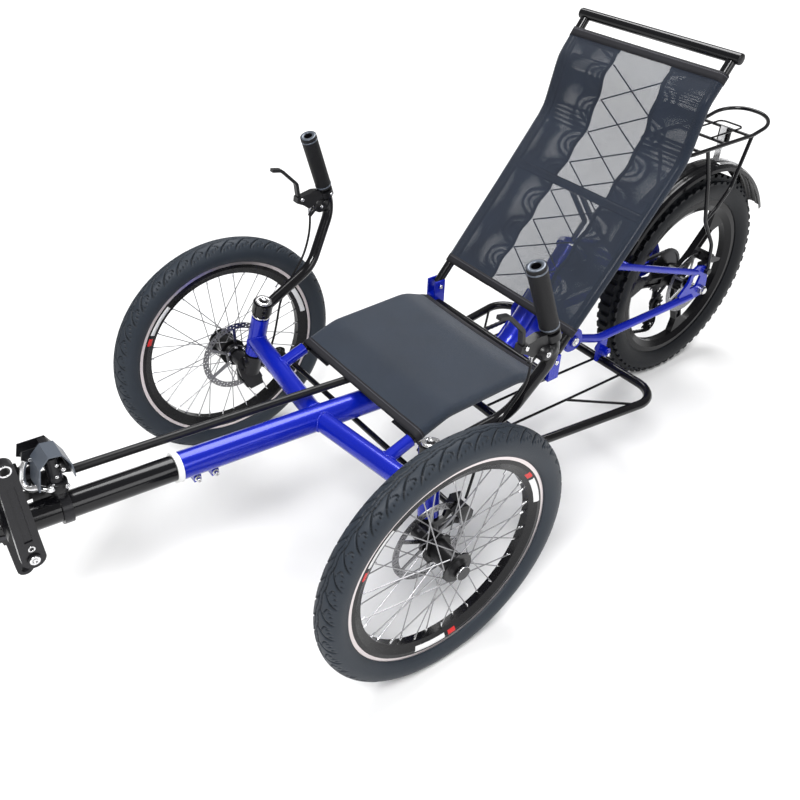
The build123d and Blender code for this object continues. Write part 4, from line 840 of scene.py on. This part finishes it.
# %% nipples and bolts
SPOKES = 18
FLANGES = ((-0.025, 0.0), (0.028, 0.5))
DISC_BOLTS = 6
DISC_BOLT_R = 0.0205


def nipple():
    """Spoke nipple, from the rim towards the hub."""
    return turned([(-0.001, 0), (-0.001, 0.0022), (0.001, 0.0022), (0.002, 0.0018), (0.009, 0.0017),
                   (0.010, 0.0012), (0.010, 0)], 10)


def socket_head(radius, height):
    """Head of a socket bolt with a recess in its top."""
    hole = radius * 0.52
    return turned([(0, 0), (0, radius), (height * 0.85, radius), (height, radius * 0.86), (height, hole),
                   (height * 0.35, hole * 0.96), (height * 0.35, 0)], 18)


for label, side in SIDES:
    nipples = []
    for flange_x, stagger in FLANGES:
        for i in range(SPOKES):
            out = round_axle(2 * math.pi * (i + stagger) / SPOKES)
            foot = at(side * (HALF_TRACK + flange_x * 0.1), 0, FRONT_R) + out * (RIM_R - RIM_DEPTH)
            nipples.append(aimed(nipple(), foot, -out))
    fitting("nipples_" + label, nipples, BRIGHT, "wheel_" + label)
    hub = at(side * (HALF_TRACK - 0.0448), 0, FRONT_R)
    bolts = []
    for i in range(DISC_BOLTS):
        place = hub + DISC_BOLT_R * round_axle(2 * math.pi * (i + 0.5) / DISC_BOLTS)
        bolts.append(aimed(socket_head(0.0038, 0.0028), place, (-side, 0, 0)))
    fitting("disc_bolts_" + label, bolts, BRIGHT, "wheel_" + label)
    print("wheel_" + label, "has", len(nipples), "nipples and", len(bolts), "disc bolts")

# %% [markdown]
# ## Fittings on the frame
#
# Rings, caps and bolt heads sit on the faces of the solids, at places that come from the same sizes as
# the solids. `mirrored` repeats a left-hand list of small solids on the right. The first tables are for
# what turns with a handlebar: the headset's rings, the grip's end rings, the lever's bolts and the pod of
# the gear shifter below the grip. Each row names a piece, the solids it is made of and its finish.

# %% rings, hexagons and mirrored lists


def collar(inner, outer, width, steps=28):
    """Flat ring about X: a closed section from the inner to the outer radius, turned once round."""
    rim = np.array([(0, inner), (0, outer - 0.0003), (0.0003, outer), (width - 0.0003, outer),
                    (width, outer - 0.0003), (width, inner)])
    turn = full_turn(steps)
    x, radius = rim[:, :1], rim[:, 1:]
    points = np.stack(np.broadcast_arrays(x, radius * np.cos(turn), radius * np.sin(turn)), axis=-1)
    return points.reshape(-1, 3), grid_faces(len(rim), steps, round_rows=True, round_cols=True)


def hexagon(radius, height):
    """Hexagon head about X with a chamfered top."""
    return turned([(0, 0), (0, radius), (height * 0.8, radius), (height, radius * 0.86), (height, 0)], 6)


def mirrored(solids):
    """The same solids on the other side of the trike, with x and the faces turned over."""
    return [(points * [-1, 1, 1], [face[::-1] for face in faces]) for points, faces in solids]


# %% trim that turns with the handlebars
BAR_TOP = at(0.319, 0.193, 0.713)
BAR_UP = unit(np.array([-0.016, -0.057, 0.168]))
LEVER_SEAT = BAR_TOP - BAR_UP * 0.136
CABLE_EXIT = LEVER_SEAT + [0, -0.040, -0.026]
POD_AT = LEVER_SEAT + [0, -0.026, 0] - BAR_UP * 0.026
LEFTWARD = (1, 0, 0)
RIGHTWARD = (-1, 0, 0)
steering = kingpin(0.400) - kingpin(0.300)

headset = [aimed(collar(0.0178, 0.0185, 0.0036), kingpin(0.3747), steering),
           aimed(collar(0.0162, 0.0170, 0.0031), kingpin(0.4091), steering),
           aimed(collar(0.0058, 0.0166, 0.0016), kingpin(0.4125), steering),
           aimed(socket_head(0.0058, 0.0030), kingpin(0.4158), steering)]
stem_bolts = [aimed(socket_head(0.0034, 0.0040), kingpin(z) + [-0.0195, -0.008, 0], (-1, -0.4, 0))
              for z in (0.390, 0.402)]
ferrule = turned([(-0.004, 0), (-0.004, 0.0046), (0.003, 0.0046), (0.004, 0.0038), (0.012, 0.0036),
                  (0.0135, 0)], 16)
lever_trim = [aimed(ferrule, CABLE_EXIT, (0, 0, -1)),
              aimed(socket_head(0.0032, 0.0030), LEVER_SEAT + [-0.0155, 0.004, 0], RIGHTWARD),
              aimed(hexagon(0.0046, 0.0030), LEVER_SEAT + [0.0080, -0.062, 0.000], LEFTWARD),
              aimed(hexagon(0.0046, 0.0030), LEVER_SEAT + [-0.0080, -0.062, 0.000], RIGHTWARD)]
axle_ring = [aimed(collar(0.0126, 0.0136, 0.0030), at(0.4252, 0, FRONT_R), LEFTWARD)]
grip_ends = [aimed(collar(0.0086, 0.0152, 0.0010), BAR_TOP + BAR_UP * 0.0029, BAR_UP),
             aimed(collar(0.0160, 0.0171, 0.0030), BAR_TOP - BAR_UP * 0.0060, BAR_UP),
             aimed(collar(0.0160, 0.0171, 0.0030), BAR_TOP - BAR_UP * 0.1180, BAR_UP)]
pod_line = [(-0.013, 0), (-0.013, 0.010), (-0.011, 0.0145), (0.006, 0.0150), (0.009, 0.0120),
            (0.014, 0.0105), (0.014, 0)]
thumb_line = [(-0.008, 0), (-0.008, 0.006), (0.020, 0.0045), (0.0215, 0.0030), (0.0215, 0)]
clamp_line = [(-0.012, 0), (-0.012, 0.0135), (0.012, 0.0135), (0.012, 0)]
shifter_pod = [aimed(turned(pod_line, 28), POD_AT, LEFTWARD),
               aimed(turned(thumb_line, 16), POD_AT + [-0.004, -0.010, -0.004], (0, -0.7, -0.7)),
               aimed(turned(clamp_line, 24), POD_AT + [0, 0.016, -0.001], BAR_UP)]
pod_screws = [aimed(socket_head(0.0050, 0.0022), POD_AT + [0.0132, 0, 0], LEFTWARD),
              aimed(socket_head(0.0034, 0.0030), POD_AT + [-0.0128, 0, 0], RIGHTWARD),
              aimed(collar(0.0140, 0.0153, 0.0016), POD_AT + [-0.006, 0, 0], LEFTWARD)]
STEERED_TRIM = {
    "headset_rings": (headset, BRIGHT),
    "stem_bolts": (stem_bolts, BLACK_BOLT),
    "lever_trim": (lever_trim, BRIGHT),
    "axle_ring": (axle_ring, BRIGHT),
    "grip_ends": (grip_ends, CAST_GREY),
    "shifter_pod": (shifter_pod, FINISHES["black_plastic"]),
    "pod_screws": (pod_screws, BRIGHT),
}
for name, (solids, look) in STEERED_TRIM.items():
    fitting(name + "_left", solids, look, "knuckle_left")
    fitting(name + "_right", mirrored(solids), look, "knuckle_right")
print("steered trim:", ", ".join(STEERED_TRIM))

# %% [markdown]
# ## Bolts of the frame, the crank and the rear wheel
#
# The boom slides in the main tube and is clamped by two bolts from below, whose places follow the slope of
# the tube. The seat's brackets, the rear axle, the jockey wheels and the crank have their own. The crank's
# rings line the holes at the ends of its arms, so they turn with it.

# %% bolts of the frame
BOOM_Z = 0.3058
BOOM_SLOPE = 0.082
BOOM_LUG_DROP = 0.0254 + 0.009
SEAT_BOLTS = ((0.196, 0.428, 0.374, 0.0048, LEFTWARD), (0.164, 0.428, 0.374, 0.0048, RIGHTWARD),
              (0.092, 0.608, 0.298, 0.0100, LEFTWARD), (0.097, 0.7302, 0.2188, 0.0050, LEFTWARD))

boom_bolts = []
for y in (-0.262, -0.228):
    z = BOOM_Z - BOOM_SLOPE * y - BOOM_LUG_DROP
    for side in (1, -1):
        boom_bolts.append(aimed(collar(0.0022, 0.0060, 0.0014), at(side * 0.008, y, z), (side, 0, 0)))
        boom_bolts.append(aimed(socket_head(0.0046, 0.0070), at(side * 0.0092, y, z), (side, 0, 0)))
fitting("boom_bolts", boom_bolts, BRIGHT, "frame")

frame_bolts = [aimed(socket_head(radius, 0.0028), at(x, y, z), way) for x, y, z, radius, way in SEAT_BOLTS]
fitting("frame_bolts", frame_bolts + mirrored(frame_bolts), BRIGHT, "frame")

axle_nuts = [aimed(hexagon(0.0095, 0.0060), at(0.086, WHEELBASE, REAR_R), LEFTWARD)]
fitting("rear_axle_nuts", axle_nuts + mirrored(axle_nuts), BRIGHT, "frame", flat=True)

# %% bolts and rings of the crank, the jockey wheels and the seat's top bar
CRANK_Y = -0.562
CRANK = at(0, CRANK_Y, BOOM_Z - BOOM_SLOPE * CRANK_Y)
RING_BOLTS = 5

crank_trim = [aimed(collar(0.0071, 0.0098, 0.0010), CRANK + [0.090, 0, 0.175], LEFTWARD),
              aimed(collar(0.0030, 0.0054, 0.0008), CRANK + [0.0895, 0.001, 0.020], LEFTWARD),
              aimed(collar(0.0071, 0.0098, 0.0010), CRANK + [-0.090, 0, -0.175], RIGHTWARD),
              aimed(socket_head(0.0080, 0.0020), CRANK + [0.093, 0, 0], LEFTWARD),
              aimed(socket_head(0.0080, 0.0020), CRANK + [-0.093, 0, 0], RIGHTWARD)]
for i in range(RING_BOLTS):
    place = CRANK + [-0.055, 0, 0] + round_axle(2 * math.pi * i / RING_BOLTS) * 0.046
    crank_trim.append(aimed(socket_head(0.0046, 0.0018), place, RIGHTWARD))
fitting("crank_trim", crank_trim, BRIGHT, "crank")

jockey_bolts = [aimed(socket_head(0.0040, 0.0020), at(-0.0334, y, z), LEFTWARD)
                for y, z in ((1.086, 0.170), (1.070, 0.114))]
fitting("jockey_bolts", jockey_bolts, BRIGHT, "frame")

plug_line = [(0, 0), (0, 0.0104), (0.0015, 0.0100), (0.0030, 0.0070), (0.0032, 0)]
bar_plugs = [aimed(turned(plug_line, 24), at(0.195, 0.799, 0.896), LEFTWARD)]
fitting("bar_plugs", bar_plugs + mirrored(bar_plugs), FINISHES["black_plastic"], "frame")

# %% [markdown]
# ## The plate on the fender
#
# Where the rack's strap meets the fender, a bright plate lies on the fender's left flank. It is a shell
# between two arcs about the rear axle, one in the fender's surface and one 2.3 mm above it.

# %% the fender's plate
FENDER_R = REAR_R + 0.032
STRAP_BACK = 0.044
STRAP_TURN = math.acos(STRAP_BACK / FENDER_R)

plate_turn = (STRAP_TURN + np.radians(np.linspace(3.0, -11.0, 12)))[:, None]
plate_x = np.linspace(0.0125, 0.0240, 4)
plate_skins = [grid_at(plate_x, WHEELBASE + radius * np.cos(plate_turn), REAR_R + radius * np.sin(plate_turn))
               for radius in (FENDER_R - 0.0005, FENDER_R - 0.0028)]
plate = fitting("fender_plate", [shell(*plate_skins)], BRIGHT, "frame")
print("fender plate, in metres:", np.round(tuple(plate.dimensions), 3))

# %% [markdown]
# ## Brake cables
#
# Each cable leaves its lever, hangs along the handlebar in one easy line and goes back into the caliper. Its
# points are steps from the lever's exit, on the left-hand side, and its line is the NURBS curve over them,
# which passes inside their corners as a stiff housing does.

# %% brake cables
CABLE_D = 0.005
CABLE_STEPS = {
    "left": [(0, 0, 0), (0.002, 0.002, -0.034), (-0.002, -0.008, -0.072), (-0.010, -0.030, -0.108),
             (-0.009, -0.062, -0.148), (0, -0.096, -0.184), (0.009, -0.116, -0.218),
             (0.0086, -0.122, -0.242)],
    "right": [(0, 0, 0), (0.002, 0.002, -0.034), (-0.002, -0.008, -0.072), (-0.010, -0.030, -0.108),
              (-0.009, -0.062, -0.148), (-0.007, -0.088, -0.192), (-0.004, -0.098, -0.246),
              (-0.002, -0.112, -0.300), (0.001, -0.138, -0.352)],
}


def brake_cable(label, side):
    """One free cable from its lever to its caliper, as a round NURBS curve."""
    line = bpy.data.curves.new("brake_cable_" + label, "CURVE")
    line.dimensions = "3D"
    line.bevel_depth = CABLE_D / 2
    line.bevel_resolution = 5
    line.use_fill_caps = True
    points = [(CABLE_EXIT + step) * [side, 1, 1] for step in CABLE_STEPS[label]]
    spline = line.splines.new("NURBS")
    spline.points.add(len(points) - 1)
    for point, place in zip(spline.points, points):
        point.co = (*place, 1.0)
    spline.order_u = 3
    spline.use_endpoint_u = True
    spline.resolution_u = 16
    line.materials.append(FINISHES["black_plastic"])
    made = bpy.data.objects.new("brake_cable_" + label, line)
    bpy.context.scene.collection.objects.link(made)
    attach(made, "knuckle_" + label)
    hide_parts("cable_" + label)


for label, side in SIDES:
    brake_cable(label, side)

# %% [markdown]
# ## Front derailleur's linkage
#
# A folded cover arches over the post, a knuckle is clamped round the post, and a bright S-shaped arm runs
# from the knuckle to the cage. The arm is a bar swept along a smooth line with an oval section: between
# two knots `a` and `b` with slopes `da` and `db`, the line is the cubic that has both points and slopes.

# %% a swept bar and a folded sheet
COVER = [(-0.517, 0.402), (-0.508, 0.444), (-0.491, 0.460), (-0.470, 0.456), (-0.459, 0.432),
         (-0.458, 0.406)]
COVER_X = (-0.029, 0.013)
ARM = [(-0.031, -0.516, 0.438), (-0.029, -0.524, 0.424), (-0.026, -0.529, 0.406), (-0.014, -0.526, 0.396),
       (0.000, -0.514, 0.400), (0.009, -0.501, 0.398), (0.007, -0.492, 0.398)]
POST = at(0, -0.486, 0)


def bar(points, wide, thick, steps=60, count=14):
    """Bar with an oval section, swept along the smooth curve through the points."""
    knots = np.array([at(*p) for p in points])
    place = np.linspace(0, len(knots) - 1, steps)
    index = np.clip(place.astype(int), 0, len(knots) - 2)
    share = (place - index)[:, None]
    slope = np.gradient(knots, axis=0)
    a, b, da, db = knots[index], knots[index + 1], slope[index], slope[index + 1]
    line = (a * (1 + 2 * share) * (1 - share) ** 2 + b * share ** 2 * (3 - 2 * share)
            + da * share * (1 - share) ** 2 - db * share ** 2 * (1 - share))
    along = unit(np.gradient(line, axis=0))
    side = unit(np.cross(along, (0.35, 1.0, 0.2)))
    up = np.cross(side, along)
    turn = full_turn(count)
    rings = (line[:, None, :] + wide * np.cos(turn)[None, :, None] * side[:, None, :]
             + thick * np.sin(turn)[None, :, None] * up[:, None, :])
    points = np.concatenate([rings.reshape(-1, 3), line[:1], line[-1:]])
    faces = grid_faces(steps, count, round_cols=True)
    faces += fan(steps * count, list(range(count - 1, -1, -1)))
    faces += fan(steps * count + 1, list(range((steps - 1) * count, steps * count)))
    return points, faces


def folded(corners, x_range, thick):
    """Folded sheet across X along corners in (y, z), as a thin closed solid."""
    line = np.array(corners)
    way = unit(np.gradient(line, axis=0))
    inner = line + thick * np.stack([way[:, 1], -way[:, 0]], axis=1)
    return shell(*[grid_at(np.array(x_range), skin[:, :1], skin[:, 1:]) for skin in (line, inner)])


# %% cover, arm, knuckle and bolts of the front derailleur
fitting("changer_cover", [folded(COVER, COVER_X, 0.0022)], CAST_GREY, "frame", flat=True)
fitting("changer_arm", [bar(ARM, 0.0066, 0.0052)], BRIGHT, "frame")
knuckle_line = [(0.382, 0), (0.382, 0.0145), (0.384, 0.0158), (0.401, 0.0158), (0.403, 0.0145), (0.403, 0)]
pivot_line = [(-0.030, 0), (-0.030, 0.007), (0.010, 0.007), (0.010, 0)]
knuckle_body = [aimed(turned(knuckle_line, 32), POST, (0, 0, 1)),
                aimed(turned(pivot_line, 24), at(0, -0.474, 0.428), LEFTWARD)]
fitting("changer_knuckle", knuckle_body, FINISHES["black_plastic"], "frame")
CHANGER_BOLTS = ((0.0095, -0.4745, 0.393, 0.0042, 0.0040), (0.0095, -0.474, 0.428, 0.0036, 0.0040),
                 (0.0090, -0.486, 0.418, 0.0030, 0.0040), (0.0095, -0.482, 0.440, 0.0030, 0.0040),
                 (-0.0306, -0.510, 0.436, 0.0034, 0.0030), (-0.0306, -0.502, 0.444, 0.0028, 0.0030))
linkage = [aimed(socket_head(radius, height), at(x, y, z), LEFTWARD)
           for x, y, z, radius, height in CHANGER_BOLTS]
linkage.append(aimed(hexagon(0.0040, 0.0030), at(0.0040, -0.500, 0.397), (0.3, -1, 0)))
fitting("changer_bolts", linkage, BRIGHT, "frame")
print("bolts on the linkage:", len(linkage))

# %% [markdown]
# ## Weld beads
#
# Where a tube of radius `r` and axis `p + s e` runs into another tube of radius `R`, the joint is the curve
# on which the distance to the other axis is `R`. Each line along the first tube meets the other at the
# root of a quadratic in `s`. A thin round bead with small ripples follows that curve.

# %% weld beads
BEAD_STEPS = 160
BEAD_SIDES = 10
BEAD_R = 0.0021
RIPPLES = 40


def weld(start, end, radius, other_start, other_end, other_radius):
    """Bead round the joint of a tube that runs into another, as a closed ring of small circles."""
    along = unit(end - start)
    other = unit(other_end - other_start)
    side = unit(np.cross(along, other))
    up = np.cross(side, along)
    turn = full_turn(BEAD_STEPS)[:, None]
    ring = radius * (np.cos(turn) * side + np.sin(turn) * up)
    way = along - (along @ other) * other
    gap = start + ring - other_start
    gap = gap - (gap @ other)[:, None] * other
    a, b, c = way @ way, 2 * gap @ way, (gap * gap).sum(axis=1) - other_radius ** 2
    root = (-b - np.sqrt(np.clip(b * b - 4 * a * c, 0, None))) / (2 * a)
    curve = start + ring + root[:, None] * along
    out = unit(ring / radius - along * 0.7)
    tangent = unit(np.roll(curve, -1, axis=0) - np.roll(curve, 1, axis=0))
    across = np.cross(tangent, out)
    small = full_turn(BEAD_SIDES)
    size = BEAD_R * (1 + 0.18 * np.sin(turn * RIPPLES))
    points = curve[:, None, :] + size[:, :, None] * (np.cos(small)[None, :, None] * out[:, None, :]
                                                      + np.sin(small)[None, :, None] * across[:, None, :])
    return points.reshape(-1, 3), grid_faces(BEAD_STEPS, BEAD_SIDES, round_rows=True, round_cols=True)


MAIN_AXIS = (at(0, -0.290, 0.3296), at(0, 0.476, 0.2668))
MAIN_R = 0.0254
CROSS_R = 0.020
ARM_ROOT = at(0, -0.006, 0.3063)
ARM_END = kingpin(0.310)
STUB = (at(0.180, 0.078, 0.3341), at(0.180, 0.024, 0.3157))
beads = [weld(ARM_END, ARM_ROOT, CROSS_R, *MAIN_AXIS, MAIN_R),
         weld(ARM_ROOT, ARM_END, CROSS_R, kingpin(0.278), kingpin(0.372), 0.019),
         weld(*STUB, 0.0125, ARM_ROOT, ARM_END, CROSS_R)]
fitting("weld_beads", beads + mirrored(beads), FINISHES["frame_blue"], "frame")

# %% [markdown]
# ## Studio
#
# The floor is a wide pale plane that keeps the shadow, and glows a little far from the trike so that the
# distance stays white. Two large soft lights hang over the trike, a third fills in from the side of the
# camera, and the world adds a plain grey light from all round but looks white to the camera.

# %% the floor
FLOOR_HALF = 30
GLOW_FROM = 1.6
GLOW_SLOPE = 0.30
GLOW_MOST = 0.75

floor_mesh = bpy.data.meshes.new("floor")
corners = [(x * FLOOR_HALF, y * FLOOR_HALF, 0) for x, y in ((-1, -1), (1, -1), (1, 1), (-1, 1))]
floor_mesh.from_pydata(corners, [], [(0, 1, 2, 3)])
floor = bpy.data.objects.new("floor", floor_mesh)
bpy.context.scene.collection.objects.link(floor)
pale = finish("floor", (0.84, 0.84, 0.84), 0.85, grain=3, bump=0.0, vary=0.03, cloudy=0.01)
glow = pale.node_tree
spot = glow.nodes.new("ShaderNodeTexCoord")
reach = glow.nodes.new("ShaderNodeVectorMath")
reach.operation = "LENGTH"
glow.links.new(spot.outputs["Object"], reach.inputs[0])
far = calc(glow, "MULTIPLY", calc(glow, "SUBTRACT", reach.outputs["Value"], GLOW_FROM), GLOW_SLOPE)
far = calc(glow, "MINIMUM", calc(glow, "MAXIMUM", far, 0.0), GLOW_MOST)
glow.nodes["Principled BSDF"].inputs["Emission Color"].default_value = (1.0, 1.0, 1.0, 1.0)
glow.links.new(far, glow.nodes["Principled BSDF"].inputs["Emission Strength"])
floor.data.materials.append(pale)

# %% lamps


def area_light(name, place, aim, size, power):
    """A square soft light at a place, turned towards a point."""
    lamp = bpy.data.lights.new(name, "AREA")
    lamp.size = size
    lamp.energy = power
    holder = bpy.data.objects.new(name, lamp)
    bpy.context.scene.collection.objects.link(holder)
    holder.location = place
    holder.rotation_euler = (Vector(aim) - Vector(place)).to_track_quat("-Z", "Y").to_euler()


area_light("key", (1.6, -2.2, 3.6), (0, 0, 0.3), 1.4, 170)
area_light("top", (-1.2, 1.2, 3.8), (0, 0, 0.3), 2.2, 150)
area_light("fill", (3.2, 0.6, 1.8), (0, 0, 0.4), 1.6, 30)

# %% the world
SKY = 0.32
world = bpy.data.worlds.new("studio")
bpy.context.scene.world = world
world.use_nodes = True
world.node_tree.nodes["Background"].inputs["Color"].default_value = (1.0, 1.0, 1.0, 1.0)
ray = world.node_tree.nodes.new("ShaderNodeLightPath")
seen = calc(world.node_tree, "MULTIPLY_ADD", ray.outputs["Is Camera Ray"], 1 - SKY, SKY)
world.node_tree.links.new(seen, world.node_tree.nodes["Background"].inputs["Strength"])

# %% [markdown]
# ## Camera
#
# The camera stands where the photograph was taken from: its place, its two angles and a small roll were
# solved from the wheels and the frame in the photograph.

# %% camera
YAW = 0.9001
PITCH = 0.6544
ROLL = 0.0364
EYE = np.array([1.0879, -0.6695 + SHIFT, 1.3264])
FOCAL_PX = 849.65
IMAGE_PX = 800
SENSOR = 36

ahead = np.array([-math.sin(YAW) * math.cos(PITCH), math.cos(YAW) * math.cos(PITCH), -math.sin(PITCH)])
right = unit(np.cross(ahead, (0, 0, 1)))
above = np.cross(right, ahead)
turned_right = math.cos(ROLL) * right + math.sin(ROLL) * above
turned_up = -math.sin(ROLL) * right + math.cos(ROLL) * above
lens = bpy.data.cameras.new("camera")
lens.lens = FOCAL_PX / IMAGE_PX * SENSOR
lens.sensor_width = SENSOR
camera = bpy.data.objects.new("camera", lens)
bpy.context.scene.collection.objects.link(camera)
pose = Matrix(np.column_stack([turned_right, turned_up, -ahead]).tolist()).to_4x4()
pose.translation = Vector(EYE)
camera.matrix_world = pose
bpy.context.scene.camera = camera
bpy.context.scene.view_settings.view_transform = "Standard"
print("camera: a lens of", round(lens.lens, 1), "mm on a sensor of", SENSOR, "mm")
